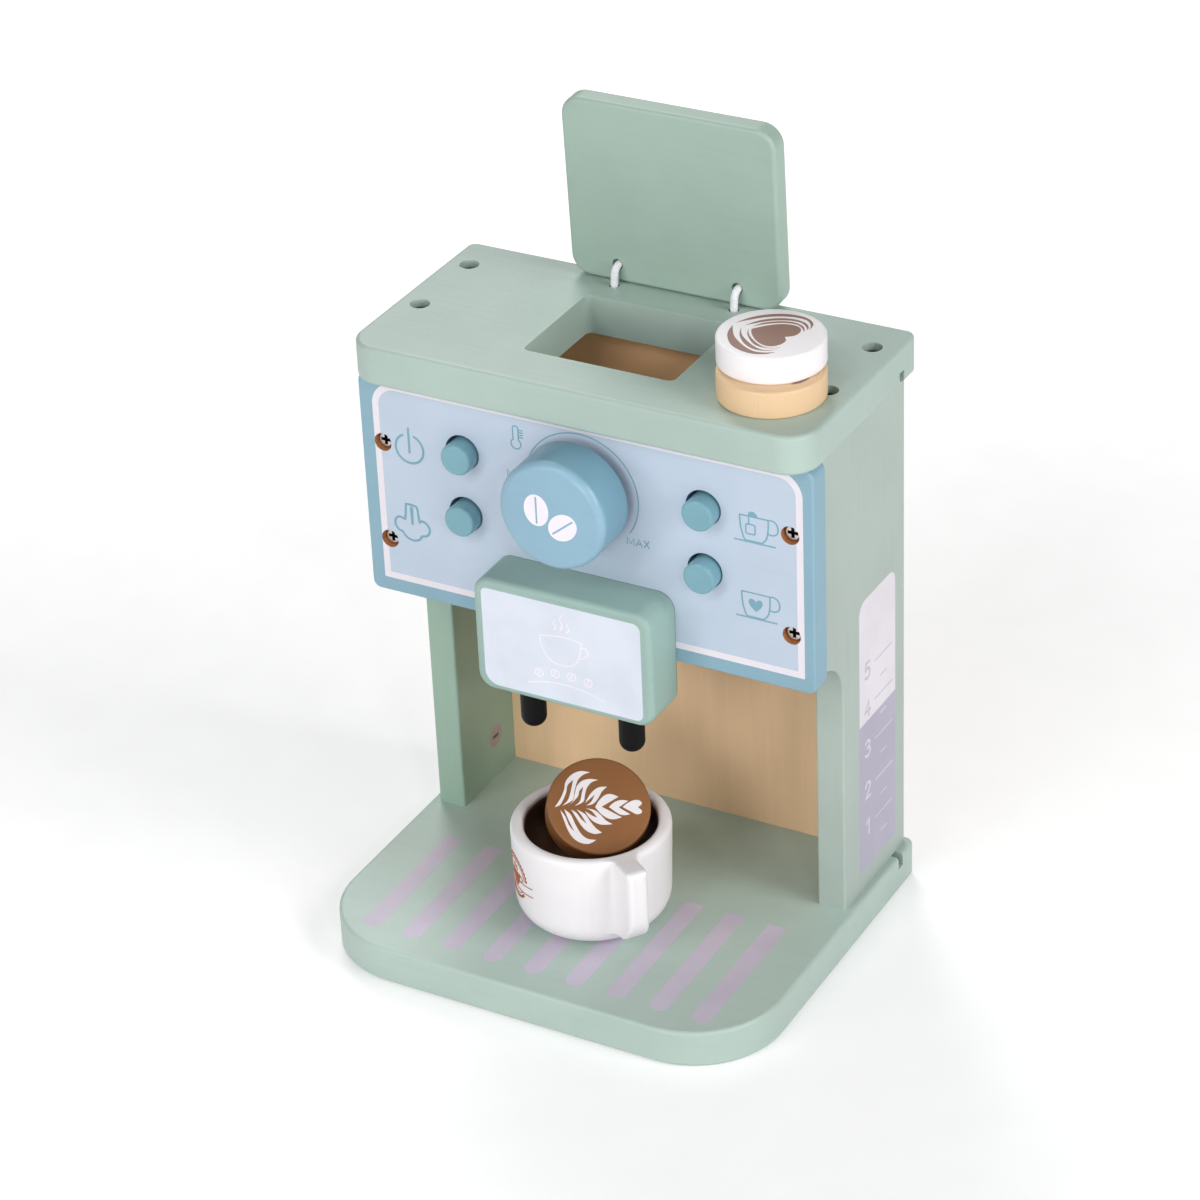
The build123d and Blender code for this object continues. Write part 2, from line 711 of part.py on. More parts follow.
os.makedirs("parts", exist_ok=True)
for name, shape in nodes.items():
    solids = Compound(shape) if isinstance(shape, list) else shape
    export_step(solids, f"parts/{name}.step")
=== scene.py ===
import math

import bmesh
import bpy
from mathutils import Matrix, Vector
from mathutils.geometry import tessellate_polygon


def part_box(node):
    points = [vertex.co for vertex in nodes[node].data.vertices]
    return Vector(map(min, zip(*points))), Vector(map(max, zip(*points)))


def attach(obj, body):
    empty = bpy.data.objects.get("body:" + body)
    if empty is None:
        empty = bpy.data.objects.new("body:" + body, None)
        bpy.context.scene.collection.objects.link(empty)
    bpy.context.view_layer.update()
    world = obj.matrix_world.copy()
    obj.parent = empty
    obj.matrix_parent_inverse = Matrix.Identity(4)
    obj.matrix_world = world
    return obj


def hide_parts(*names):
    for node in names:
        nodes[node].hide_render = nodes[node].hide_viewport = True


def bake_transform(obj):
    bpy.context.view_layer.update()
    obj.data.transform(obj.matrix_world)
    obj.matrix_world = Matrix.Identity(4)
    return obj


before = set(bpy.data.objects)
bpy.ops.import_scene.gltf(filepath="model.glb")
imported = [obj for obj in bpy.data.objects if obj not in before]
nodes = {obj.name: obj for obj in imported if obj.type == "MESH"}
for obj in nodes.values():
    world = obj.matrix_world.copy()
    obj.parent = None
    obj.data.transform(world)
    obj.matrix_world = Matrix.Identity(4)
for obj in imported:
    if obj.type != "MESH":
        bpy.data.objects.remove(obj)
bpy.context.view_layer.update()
MM = 0.001
RIGHT, BACK, UP = (Vector(axis) for axis in ((1, 0, 0), (0, 1, 0), (0, 0, 1)))

# ---- Sizes repeated from the part, millimetres
BASE_TOP_Z = 12.3
BODY_TOP_Z = 190.9
PANEL_FACE_Y = -8.0
PRINT_EDGES = (-70.45, 71.7, 109.6, 177.0)     # left, right, bottom and top of the front panel's print
PRINT_CORNERS = (8.0, 0.4)   # radius of its upper corners and of its lower ones
PRINT_MIDDLE_Z = 150.0       # any height between its upper and lower corners
PRINT_BORDER = 2.15
BACK_FRONT_Y = 49.4
SCREW_X = 67.6
PANEL_SCREW_Z = (123.4, 156.6)
SCREW_SINK = 1.8
SCREW_POCKET_RADIUS = 2.95
TOP_SCREW_Y = (47.1, 17.7)
TOP_SCREW_HOLE_RADIUS = 3.1
CUP_CENTRE = (1.6, -14.6)
CUP_HEIGHT = 33.0
CUP_RADIUS = 24.8
CUP_BASE_RADIUS = 23.8
CUP_BORE_RADIUS = 20.4
CUP_BORE_DEPTH = 12.0
CUP_BORE_FILLET = 7.0
CUP_FOOT_FILLET = 9.0
CUP_FOOT_BULGE = 0.3
CUP_RIM_RADIUS = 2.0
CORD_X = 20.1
CORD_Y = 52.2
CORD_RADIUS = 1.2
CORD_BEND_RADIUS = 2.4
CORD_DEPTH = 6.8
CORD_ASIDE = 0.35
LID_LEAN = 2.9
LID_FRONT_Y = 54.70
LID_HOLE_Z = 196.94
KNOT_CENTRE = (61.54, 197.29)
HANDLE_AZIMUTH = -38.0
HANDLE_THICKNESS = 6.8
HANDLE_REACH = 35.8
HANDLE_LOW = 6.3
HANDLE_LOW_RADIUS = 11.7
HANDLE_RISE = 1.3
HANDLE_FLARES = (4.5, 2.6)
HANDLE_INNER_DROP = 0.1
HANDLE_CORNER = 1.7
HANDLE_TOP_RADIUS = 1.5
CUP_VOXEL = 0.42
CUP_SMOOTHING = 14


# ---- Camera
CAMERA_PLACE = (0.499587, -0.871317, 0.709163)
CAMERA_AZIMUTH = 29.832236
CAMERA_ELEVATION = 30.640066
CAMERA_ROLL = -2.587608
CAMERA_LENS = 117.43


def camera_axes(azimuth, elevation, roll):
    """Right, up and backward axes of a camera that looks at the object from a direction."""
    a, e, r = (math.radians(v) for v in (azimuth, elevation, roll))
    back = Vector((math.sin(a) * math.cos(e), -math.cos(a) * math.cos(e), math.sin(e)))
    right = Vector((math.cos(a), math.sin(a), 0))
    up = back.cross(right)
    return right * math.cos(r) + up * math.sin(r), up * math.cos(r) - right * math.sin(r), back


def add_camera():
    data = bpy.data.cameras.new("camera")
    data.sensor_width = 36.0
    data.lens = CAMERA_LENS
    data.clip_start = 0.05
    data.clip_end = 50.0
    camera = bpy.data.objects.new("camera", data)
    bpy.context.scene.collection.objects.link(camera)
    right, up, back = camera_axes(CAMERA_AZIMUTH, CAMERA_ELEVATION, CAMERA_ROLL)
    for row in range(3):
        for column, axis in enumerate((right, up, back)):
            camera.matrix_world[row][column] = axis[row]
        camera.matrix_world[row][3] = CAMERA_PLACE[row]
    bpy.context.scene.camera = camera


# ---- Colours
def linear(red, green, blue):
    """Linear RGBA of an 8-bit sRGB colour."""
    def channel(value):
        value /= 255.0
        return value / 12.92 if value <= 0.04045 else ((value + 0.055) / 1.055) ** 2.4
    return channel(red), channel(green), channel(blue), 1.0


def shaded(colour, factor):
    """The colour made lighter or darker."""
    return tuple(min(1.0, channel * factor) for channel in colour[:3]) + (1.0,)


# GREEN is the boards' one paint; the greens after it are copies of it: painted light on the base, and painted
# shade on the left and right side panels, the lid and the head block.
GREEN = linear(172, 191, 182)
BASE_GREEN_PAINTED_LIGHT = linear(178, 197, 188)
LEFT_GREEN_PAINTED_SHADE = linear(154, 181, 164)
RIGHT_GREEN_PAINTED_SHADE = linear(171, 185, 177)
LID_GREEN_PAINTED_SHADE = linear(161, 183, 171)
BLOCK_GREEN_PAINTED_SHADE = linear(151, 178, 170)
BLUE = linear(137, 172, 188)
FIELD = linear(188, 201, 217)
BORDER = linear(232, 226, 233)
TEAL = linear(122, 168, 181)
DIAL_BLUE = linear(141, 177, 197)
BLACK = linear(6, 5, 6)
WHITE = linear(243, 239, 241)
BROWN = linear(143, 95, 56)
TAN = linear(233, 199, 158)
BEIGE = linear(238, 201, 161)
SHADED_BEIGE = linear(240, 186, 138)
BARE_WOOD_IN_PAINTED_SHADE = linear(84, 56, 36)
HOLE_WOOD = linear(156, 92, 50), linear(226, 156, 98)
DIAL_RIM_PAINTED_SHADE = linear(112, 156, 174)
CUP_SHADE = linear(186, 178, 184)
CUP_DEEPER_PAINTED_SHADE = linear(92, 66, 56)
RECESS_PAINTED_SHADE = linear(30, 24, 20)
CORD_WHITE = linear(246, 245, 249)
RAW_WOOD = linear(190, 130, 82)
COFFEE = linear(74, 48, 35)
STRIPE = linear(198, 189, 205)
ICON = linear(120, 165, 182)
ART_BROWN = linear(150, 115, 101)
GAUGE_WHITE = linear(228, 222, 229)
GAUGE_LILAC = linear(180, 175, 194)
PLATE = linear(217, 223, 234)


# ---- Material nodes
class Surface:
    """A procedural material with one principled shader, and short names for the nodes that feed it."""

    def __init__(self, name, roughness, specular=0.5, metallic=0.0):
        self.material = bpy.data.materials.new(name)
        self.material.use_nodes = True
        self.tree = self.material.node_tree
        self.tree.nodes.clear()
        output = self.node("ShaderNodeOutputMaterial")
        self.shader = self.node("ShaderNodeBsdfPrincipled")
        self.shader.inputs["Roughness"].default_value = roughness
        self.shader.inputs["Specular IOR Level"].default_value = specular
        self.shader.inputs["Metallic"].default_value = metallic
        self.tree.links.new(self.shader.outputs[0], output.inputs[0])
        self.where = self.node("ShaderNodeTexCoord").outputs["Object"]
        split = self.node("ShaderNodeSeparateXYZ", self.where)
        self.x, self.y, self.z = split.outputs

    def node(self, kind, *values, **settings):
        made = self.tree.nodes.new(kind)
        for key, value in settings.items():
            setattr(made, key, value)
        for socket, value in zip(made.inputs, values):
            self.put(socket, value)
        return made

    def put(self, socket, value):
        if isinstance(value, bpy.types.NodeSocket):
            self.tree.links.new(value, socket)
        elif value is not None:
            socket.default_value = value

    def math(self, operation, *values):
        return self.node("ShaderNodeMath", *values, operation=operation).outputs[0]

    def add(self, a, b):
        return self.math("ADD", a, b)

    def sub(self, a, b):
        return self.math("SUBTRACT", a, b)

    def mul(self, a, b):
        return self.math("MULTIPLY", a, b)

    def step(self, value, low, high):
        """0 below low, 1 above high, and smooth between."""
        made = self.node("ShaderNodeMapRange", value, low, high, 0.0, 1.0, interpolation_type="SMOOTHSTEP")
        return made.outputs[0]

    def mix(self, factor, a, b):
        made = self.node("ShaderNodeMix", data_type="RGBA")
        self.put(made.inputs[0], factor)
        self.put(made.inputs[6], a)
        self.put(made.inputs[7], b)
        return made.outputs[2]

    def cover(self, colour):
        """Sets the base colour."""
        self.put(self.shader.inputs["Base Color"], colour)

    def patch(self, factor, colour):
        """Lays a colour over the base colour where factor is 1."""
        under = self.shader.inputs["Base Color"].links[0].from_socket
        self.cover(self.mix(factor, under, colour))

    def mottle(self, value, low, high, dark, light):
        """Sets the base colour: dark where value is below low, light above high, and mixed between."""
        self.cover(self.mix(self.step(value, low, high), dark, light))

    def tint(self, value, low, high, share, colour):
        """Lays a share of a colour over the base colour where value is above high, and none below low."""
        self.patch(self.mul(self.step(value, low, high), share), colour)

    def stretched(self, scale, shift=(0.0, 0.0, 0.0)):
        """Object coordinates, scaled along each axis."""
        made = self.node("ShaderNodeMapping", self.where)
        made.inputs["Location"].default_value = shift
        made.inputs["Scale"].default_value = scale
        return made.outputs[0]

    def noise(self, scale, detail=3.0, rough=0.5, distortion=0.0, where=None):
        made = self.node("ShaderNodeTexNoise", where or self.where)
        settings = {"Scale": scale, "Detail": detail, "Roughness": rough, "Distortion": distortion}
        for name, value in settings.items():
            made.inputs[name].default_value = value
        return made.outputs[0]

    def bumps(self, *heights):
        """Normal from heights, each a pair of a value and its height in metres."""
        normal = None
        for value, distance in heights:
            made = self.node("ShaderNodeBump")
            made.inputs["Strength"].default_value = 1.0
            made.inputs["Distance"].default_value = distance
            self.put(made.inputs["Height"], value)
            self.put(made.inputs["Normal"], normal)
            normal = made.outputs[0]
        self.put(self.shader.inputs["Normal"], normal)

    def edges(self, radius):
        """1 on the rounded and sharp edges of a piece, 0 on its faces."""
        bevel = self.node("ShaderNodeBevel", samples=6)
        bevel.inputs["Radius"].default_value = radius
        plain = self.node("ShaderNodeNewGeometry").outputs["Normal"]
        dot = self.node("ShaderNodeVectorMath", bevel.outputs[0], plain, operation="DOT_PRODUCT")
        return self.step(dot.outputs["Value"], 0.995, 0.86)

    def hypot(self, u, v):
        return self.math("SQRT", self.add(self.mul(u, u), self.mul(v, v)))

    def below(self, value, limit):
        return self.math("LESS_THAN", value, limit * MM)

    def above(self, value, limit):
        return self.math("GREATER_THAN", value, limit * MM)

    def away(self, u, v, centre):
        """Distance in metres from a place in millimetres."""
        return self.hypot(self.sub(u, centre[0] * MM), self.sub(v, centre[1] * MM))

    def discs(self, u, v, places, radius):
        """1 inside circles of one radius round places, in millimetres."""
        inside = None
        for place in places:
            one = self.below(self.away(u, v, place), radius)
            inside = one if inside is None else self.math("MAXIMUM", inside, one)
        return inside

    def rectangle(self, u, v, low, high, radius):
        """Signed distance in metres to a rectangle with rounded corners, negative inside."""
        half = [(high[i] - low[i]) / 2 * MM for i in (0, 1)]
        centres = [(high[i] + low[i]) / 2 * MM for i in (0, 1)]
        reach = []
        for value, centre, size in zip((u, v), centres, half):
            away = self.math("ABSOLUTE", self.sub(value, centre))
            reach.append(self.sub(away, size - radius * MM))
        out = [self.math("MAXIMUM", value, 0.0) for value in reach]
        corner = self.hypot(*out)
        inside = self.math("MINIMUM", self.math("MAXIMUM", reach[0], reach[1]), 0.0)
        return self.sub(self.add(corner, inside), radius * MM)


GRAIN_SCALES = {"x": (22.0, 520.0, 520.0), "y": (520.0, 22.0, 520.0), "z": (520.0, 520.0, 22.0)}
RING_SCALES = {"x": (3.0, 60.0, 60.0), "y": (60.0, 3.0, 60.0), "z": (60.0, 60.0, 3.0)}
WORN_AND_HIGHLIGHT_EDGE = 0.0011


def paint_over_wood(surface, colour, grain, seed, strength, edge):
    """Coat of paint through which the wood's grain shows faintly: its colour, grain lines and specks."""
    cloud = surface.noise(26.0, 3.0, 0.55, where=surface.stretched((1, 1, 1), (seed, seed, 0.0)))
    streaks = surface.stretched(GRAIN_SCALES[grain], (seed, 0.0, seed))
    lines = surface.noise(1.0, 4.0, 0.6, 0.3, streaks)
    speck = surface.noise(900.0, 2.0)
    dark, light = shaded(colour, 1 - 0.045 * strength), shaded(colour, 1 + 0.03 * strength)
    surface.mottle(cloud, 0.3, 0.7, dark, light)
    surface.tint(lines, 0.52, 0.78, 0.22 * strength, shaded(colour, 0.80))
    surface.tint(speck, 0.55, 0.8, 0.25 * strength, shaded(colour, 1.10))
    # Paler rounded edges: partly rubbed paint, partly a painted highlight.
    surface.patch(surface.mul(surface.edges(WORN_AND_HIGHLIGHT_EDGE), edge), shaded(colour, 1.16))
    return lines, speck


def painted(name, colour, grain, seed, roughness=0.44, strength=1.0, edge=0.4, specular=0.4):
    surface = Surface(name, roughness, specular)
    lines, speck = paint_over_wood(surface, colour, grain, seed, strength, edge)
    surface.bumps((lines, 0.00006), (speck, 0.00003))
    return surface


def wood(name, colour, grain, seed, roughness=0.6, contrast=1.0):
    """Bare or lightly lacquered wood with growth rings, pores and mottling."""
    surface = Surface(name, roughness, 0.35)
    rings = surface.noise(1.6, 5.0, 0.62, 1.2, surface.stretched(RING_SCALES[grain], (seed, seed, seed)))
    pores = surface.noise(2.2, 3.0, 0.7, where=surface.stretched(GRAIN_SCALES[grain]))
    cloud = surface.noise(30.0)
    dark, light = shaded(colour, 1 - 0.16 * contrast), shaded(colour, 1 + 0.07 * contrast)
    surface.mottle(rings, 0.35, 0.68, dark, light)
    surface.tint(pores, 0.55, 0.8, 0.3 * contrast, shaded(colour, 0.66))
    surface.tint(cloud, 0.3, 0.8, 0.2, shaded(colour, 1.08))
    surface.bumps((rings, 0.00005), (pores, 0.00008))
    return surface


def back_panel_surface():
    """Thin plywood, with a redder painted shade on its front where it shows through the hopper opening."""
    surface = wood("back_panel_ply", BEIGE, "z", 2.0, 0.55, 0.25)
    # Painted shade: warmer and redder above the head, inside the hopper.
    high = surface.step(surface.z, 110 * MM, 135 * MM)
    surface.patch(surface.mul(high, surface.below(surface.y, BACK_FRONT_Y + 0.5)), SHADED_BEIGE)
    return surface


def dial_surface():
    """Lacquered dial, with painted shade that makes its rim deeper in colour than its face."""
    surface = painted("dial_paint", DIAL_BLUE, "x", 7.0, 0.25, 1.2, 0.6)
    face_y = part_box("dial_knob")[0].y
    # Painted shade: the rim behind the face is tinted a darker teal.
    surface.tint(surface.y, face_y + 0.8 * MM, face_y + 3.0 * MM, 0.75, DIAL_RIM_PAINTED_SHADE)
    return surface


def top_board_surface():
    """Painted board; at the bottom of its countersunk screw holes, bare wood darkened by painted shade."""
    surface = painted("top_paint", GREEN, "x", 6.0)
    places = [(x, y) for x in (-SCREW_X, SCREW_X) for y in TOP_SCREW_Y]
    hole = surface.discs(surface.x, surface.y, places, TOP_SCREW_HOLE_RADIUS + 0.1)
    shallow = surface.step(surface.z, (BODY_TOP_Z - 3.1) * MM, (BODY_TOP_Z - 2.1) * MM)
    # Bare wood, painted much darker than the wood itself as painted shade deep in the holes.
    surface.patch(surface.mul(hole, surface.sub(1.0, shallow)), BARE_WOOD_IN_PAINTED_SHADE)
    return surface


def block_surface():
    """Painted block, with a painted shadow in the seam where it meets the front panel."""
    surface = Surface("block_shaded_paint", 0.42, 0.4)
    lines, speck = paint_over_wood(surface, BLOCK_GREEN_PAINTED_SHADE, "x", 8.0, 1.2, 0.45)
    # Painted shadow: the block darkens within half a millimetre of the front panel.
    start, end = (PANEL_FACE_Y - 0.45) * MM, (PANEL_FACE_Y - 0.15) * MM
    surface.tint(surface.y, start, end, 0.75, shaded(BLOCK_GREEN_PAINTED_SHADE, 0.3))
    surface.bumps((lines, 0.00008), (speck, 0.00004))
    return surface


def front_panel_surface():
    """Blue board whose front face carries a pale field in a white border; the screw holes are bare inside."""
    surface = Surface("panel_print_paint", 0.48, 0.4)
    lines, speck = paint_over_wood(surface, BLUE, "x", 3.0, 1.0, 0.45)
    front = surface.below(surface.y, PANEL_FACE_Y + 0.12)
    left, right, bottom, top = PRINT_EDGES
    whole, lower = (surface.rectangle(surface.x, surface.z, (left, bottom), (right, height), corner)
                    for height, corner in zip((top, PRINT_MIDDLE_Z), PRINT_CORNERS))
    edge = surface.math("MINIMUM", whole, lower)
    cloud = surface.noise(34.0, 3.0, 0.55)
    fibre = surface.noise(1.3, 3.0, 0.6, where=surface.stretched(GRAIN_SCALES["x"]))
    field = surface.mix(surface.step(cloud, 0.3, 0.7), shaded(FIELD, 0.97), shaded(FIELD, 1.03))
    field = surface.mix(surface.mul(surface.step(fibre, 0.55, 0.8), 0.25), field, shaded(FIELD, 0.86))
    border = surface.mix(surface.step(speck, 0.4, 0.8), shaded(BORDER, 0.97), BORDER)
    surface.patch(surface.mul(front, surface.below(edge, 0.0)), border)
    surface.patch(surface.mul(front, surface.below(edge, -PRINT_BORDER)), field)
    places = [(x, z) for x in (-SCREW_X, SCREW_X) for z in PANEL_SCREW_Z]
    hole = surface.discs(surface.x, surface.z, places, SCREW_POCKET_RADIUS + 0.08)
    bare = surface.mix(surface.noise(1400.0, 3.0, 0.6), *HOLE_WOOD)
    surface.patch(surface.mul(hole, surface.above(surface.y, PANEL_FACE_Y + 0.05)), bare)
    surface.bumps((lines, 0.00006), (speck, 0.00003))
    return surface


def cup_surface():
    """White lacquer outside and on the rim; below the rim painted shade darkens the bore through grey and
    brown bands to a coffee brown that is partly paint and partly painted shade.
    """
    surface = Surface("cup_lacquer", 0.34, 0.5)
    lines, speck = paint_over_wood(surface, WHITE, "z", 5.0, 0.7, 0.0)
    top = BASE_TOP_Z + CUP_HEIGHT
    away = surface.away(surface.x, surface.y, CUP_CENTRE)
    wobble = surface.mul(surface.sub(surface.noise(160.0, 3.0, 0.6), 0.5), 0.9 * MM)
    drop = surface.sub(top * MM, surface.add(surface.z, wobble))
    inside = surface.mul(surface.below(away, CUP_BORE_RADIUS + CUP_RIM_RADIUS * 0.6),
                         surface.above(surface.z, top - CUP_BORE_DEPTH - 1))
    coffee = surface.mix(surface.noise(120.0, 4.0, 0.6), shaded(COFFEE, 0.7), shaded(COFFEE, 1.35))
    # Bands of painted shade under the rim, then the coffee brown of the bore, itself partly painted shade.
    for start, end, colour in ((0.4, 1.1, CUP_SHADE), (1.1, 1.9, CUP_DEEPER_PAINTED_SHADE), (1.8, 3.2, coffee)):
        surface.patch(surface.mul(inside, surface.step(drop, start * MM, end * MM)), colour)
    surface.bumps((lines, 0.00003), (speck, 0.00002))
    return surface


def ink(name, colour, roughness=0.5):
    """Printed ink: nearly even, with the fine mottle of a screen print."""
    surface = Surface(name, roughness, 0.4)
    speck = surface.noise(1600.0, 2.0, 0.6)
    cloud = surface.noise(60.0, 2.0)
    surface.mottle(cloud, 0.3, 0.7, shaded(colour, 0.95), shaded(colour, 1.03))
    surface.tint(speck, 0.5, 0.8, 0.35, shaded(colour, 1.12))
    surface.bumps((speck, 0.00001))
    return surface.material


def metal(name, colour, roughness=0.34, metallic=1.0, face_y=None):
    """Metal; face_y is the front of a screw's head, behind which painted shade darkens its cross-shaped
    recess.
    """
    surface = Surface(name, roughness, metallic=metallic)
    brushed = surface.noise(2400.0, 3.0, 0.6)
    smudge = surface.noise(300.0, 3.0, 0.6)
    surface.cover(surface.mix(smudge, shaded(colour, 0.82), shaded(colour, 1.1)))
    if face_y is not None:
        # Painted shade in the screw's cross-shaped recess.
        surface.patch(surface.step(surface.y, (face_y + 0.1) * MM, (face_y + 0.45) * MM), RECESS_PAINTED_SHADE)
    gloss = surface.node("ShaderNodeMapRange", brushed, 0.2, 0.8, roughness - 0.08, roughness + 0.12)
    surface.put(surface.shader.inputs["Roughness"], gloss.outputs[0])
    surface.bumps((brushed, 0.00002))
    return surface.material


def cord_surface():
    surface = Surface("braided_cord", 0.85, 0.2)
    fibre = surface.noise(3200.0, 3.0, 0.7)
    cloud = surface.noise(700.0, 2.0)
    surface.mottle(cloud, 0.3, 0.75, shaded(CORD_WHITE, 0.86), CORD_WHITE)
    surface.tint(fibre, 0.5, 0.8, 0.4, shaded(CORD_WHITE, 0.78))
    surface.shader.inputs["Sheen Weight"].default_value = 0.3
    surface.bumps((fibre, 0.00006))
    return surface.material


# ---- Meshes
def new_object(name, bm, material, smooth=False):
    mesh = bpy.data.meshes.new(name)
    bmesh.ops.recalc_face_normals(bm, faces=bm.faces)
    bm.to_mesh(mesh)
    bm.free()
    if material:
        mesh.materials.append(material)
    if smooth:
        mesh.shade_smooth()
    made = bpy.data.objects.new(name, mesh)
    bpy.context.scene.collection.objects.link(made)
    return made


def bridge(bm, low, high):
    """Faces between two closed rows of corners."""
    for i in range(len(low)):
        j = (i + 1) % len(low)
        bm.faces.new((low[i], low[j], high[j], high[i]))


def lathe(bm, profile, centre, steps=180):
    """Closed solid turned about a vertical axis from (radius, height) points, both ends on the axis."""
    rings = []
    for radius, height in profile:
        row = []
        for i in range(steps if radius > 0 else 1):
            a = 2 * math.pi * i / steps
            row.append(bm.verts.new(((centre[0] + radius * math.cos(a)) * MM,
                                     (centre[1] + radius * math.sin(a)) * MM, height * MM)))
        rings.append(row)
    for low, high in zip(rings[1:], rings[2:-1]):
        bridge(bm, low, high)
    for tip, row in ((rings[0][0], rings[1]), (rings[-1][0], rings[-2])):
        for i in range(steps):
            bm.faces.new((tip, row[i], row[(i + 1) % steps]))


def arc(centre_u, centre_v, radius, start, end, steps):
    """Points along an arc, angles in degrees."""
    points = []
    for i in range(steps + 1):
        a = math.radians(start + (end - start) * i / steps)
        points.append((centre_u + radius * math.cos(a), centre_v + radius * math.sin(a)))
    return points


def cup_profile():
    """Outline of the cup's wall from the middle of its foot to the middle of its bore's floor."""
    base = BASE_TOP_Z
    top = base + CUP_HEIGHT
    floor = top - CUP_BORE_DEPTH
    foot_centre = CUP_BASE_RADIUS - CUP_FOOT_FILLET + CUP_FOOT_BULGE
    points = [(0.0, base), (foot_centre * 0.5, base)]
    points += arc(foot_centre, base + CUP_FOOT_FILLET, CUP_FOOT_FILLET, -90, -2, 18)
    points += arc(CUP_RADIUS - CUP_RIM_RADIUS, top - CUP_RIM_RADIUS, CUP_RIM_RADIUS, 0, 90, 10)
    points += arc(CUP_BORE_RADIUS + CUP_RIM_RADIUS, top - CUP_RIM_RADIUS, CUP_RIM_RADIUS, 90, 180, 10)
    points += arc(CUP_BORE_RADIUS - CUP_BORE_FILLET, floor + CUP_BORE_FILLET, CUP_BORE_FILLET, 0, -90, 14)
    points += [(CUP_BORE_RADIUS * 0.3, floor), (0.0, floor)]
    return points


def extruded(name, loop, place):
    """Solid between an outline and its copy; place gives both their points, low at 0 and high at 1."""
    bm = bmesh.new()
    low = [bm.verts.new(place(u, v, 0)) for u, v in loop]
    high = [bm.verts.new(place(u, v, 1)) for u, v in loop]
    bm.faces.new(low)
    bm.faces.new(high)
    bridge(bm, low, high)
    return new_object(name, bm, None)


def handle_plan():
    """Handle from above: u outward from the cup's axis, v across; it flares into the cup's wall."""
    corner, half, inner = HANDLE_CORNER, HANDLE_THICKNESS / 2, CUP_BORE_RADIUS + 2.0
    halves = []
    for flare in HANDLE_FLARES:
        aside = half + flare
        out = math.sqrt((CUP_RADIUS - 0.5 + flare) ** 2 - aside ** 2)
        meet = math.degrees(math.atan2(aside, out))
        side = [(inner * math.cos(math.radians(meet)), inner * math.sin(math.radians(meet)))]
        side += arc(out, aside, flare, 180 + meet, 270, 10)
        halves.append(side + arc(HANDLE_REACH - corner, half - corner, corner, 90, 0, 6))
    return halves[0] + [(u, -v) for u, v in reversed(halves[1])]


def handle_profile():
    """Handle from the side: u outward, v up from the foot of the cup."""
    round_top, inner = HANDLE_TOP_RADIUS, CUP_BORE_RADIUS
    centre = HANDLE_REACH - HANDLE_LOW_RADIUS
    top = CUP_HEIGHT + HANDLE_RISE
    points = [(inner, HANDLE_LOW)]
    points += arc(centre, HANDLE_LOW + HANDLE_LOW_RADIUS, HANDLE_LOW_RADIUS, -90, 0, 18)
    points += arc(HANDLE_REACH - round_top, top - round_top, round_top, 0, 90, 8)
    return points + [(inner + 1.8, CUP_HEIGHT - HANDLE_INNER_DROP), (inner, CUP_HEIGHT - 3.0)]


def make_handle():
    """The overlap of the handle's plan, drawn upward, and its profile, drawn across."""
    a = math.radians(HANDLE_AZIMUTH)
    out = Vector((math.cos(a), math.sin(a), 0))
    across = Vector((-math.sin(a), math.cos(a), 0))
    axis = Vector((*CUP_CENTRE, BASE_TOP_Z))
    plan = extruded("handle_plan", handle_plan(),
                    lambda u, v, end: (axis + out * u + across * v + UP * (CUP_HEIGHT + 8) * end) * MM)
    width = CUP_RADIUS
    profile = extruded("handle_profile", handle_profile(),
                       lambda u, v, end: (axis + out * u + UP * v + across * width * (end - 0.5)) * MM)
    return plan, profile


def combine(piece, other, operation):
    join = piece.modifiers.new(operation.lower(), "BOOLEAN")
    join.operation = operation
    join.solver = "EXACT"
    join.object = other


def make_cup(material):
    """Cup and handle as one lacquered piece: the handle flows into the wall."""
    bm = bmesh.new()
    lathe(bm, cup_profile(), CUP_CENTRE)
    cup = new_object("cup_piece", bm, material)
    handle, profile = make_handle()
    combine(handle, profile, "INTERSECT")
    combine(cup, handle, "UNION")
    remesh = cup.modifiers.new("remesh", "REMESH")
    remesh.mode = "VOXEL"
    remesh.voxel_size = CUP_VOXEL * MM
    smooth = cup.modifiers.new("smooth", "SMOOTH")
    smooth.factor = 0.5
    smooth.iterations = CUP_SMOOTHING
    depsgraph = bpy.context.evaluated_depsgraph_get()
    mesh = bpy.data.meshes.new_from_object(cup.evaluated_get(depsgraph))
    cup.modifiers.clear()
    cup.data = mesh
    mesh.materials.clear()
    mesh.materials.append(material)
    mesh.polygons.foreach_set("material_index", [0] * len(mesh.polygons))
    for tool in (handle, profile):
        bpy.data.objects.remove(tool)
    mesh.shade_smooth()
    return cup


# ---- Hinge cords
KNOT_LENGTH = 16.0
KNOT_RADIUS = 0.95           # of the cord where the knot draws it tight
# The cord's turns in the knot: across, up and back from its middle.
KNOT_TURNS = [(0.2, 0.9, -0.4), (0.9, 0.6, -0.2), (1.2, -0.5, 0.3), (0.3, -1.2, 0.8), (-0.9, -0.9, 0.6),
              (-1.3, 0.2, 0.0), (-0.7, 1.1, -0.5), (0.4, 1.0, 0.6), (1.0, 0.1, 1.2), (0.5, -0.9, 1.0),
              (-0.4, -0.6, 0.2), (-0.5, 0.3, 0.8), (-0.1, 0.5, 1.5)]


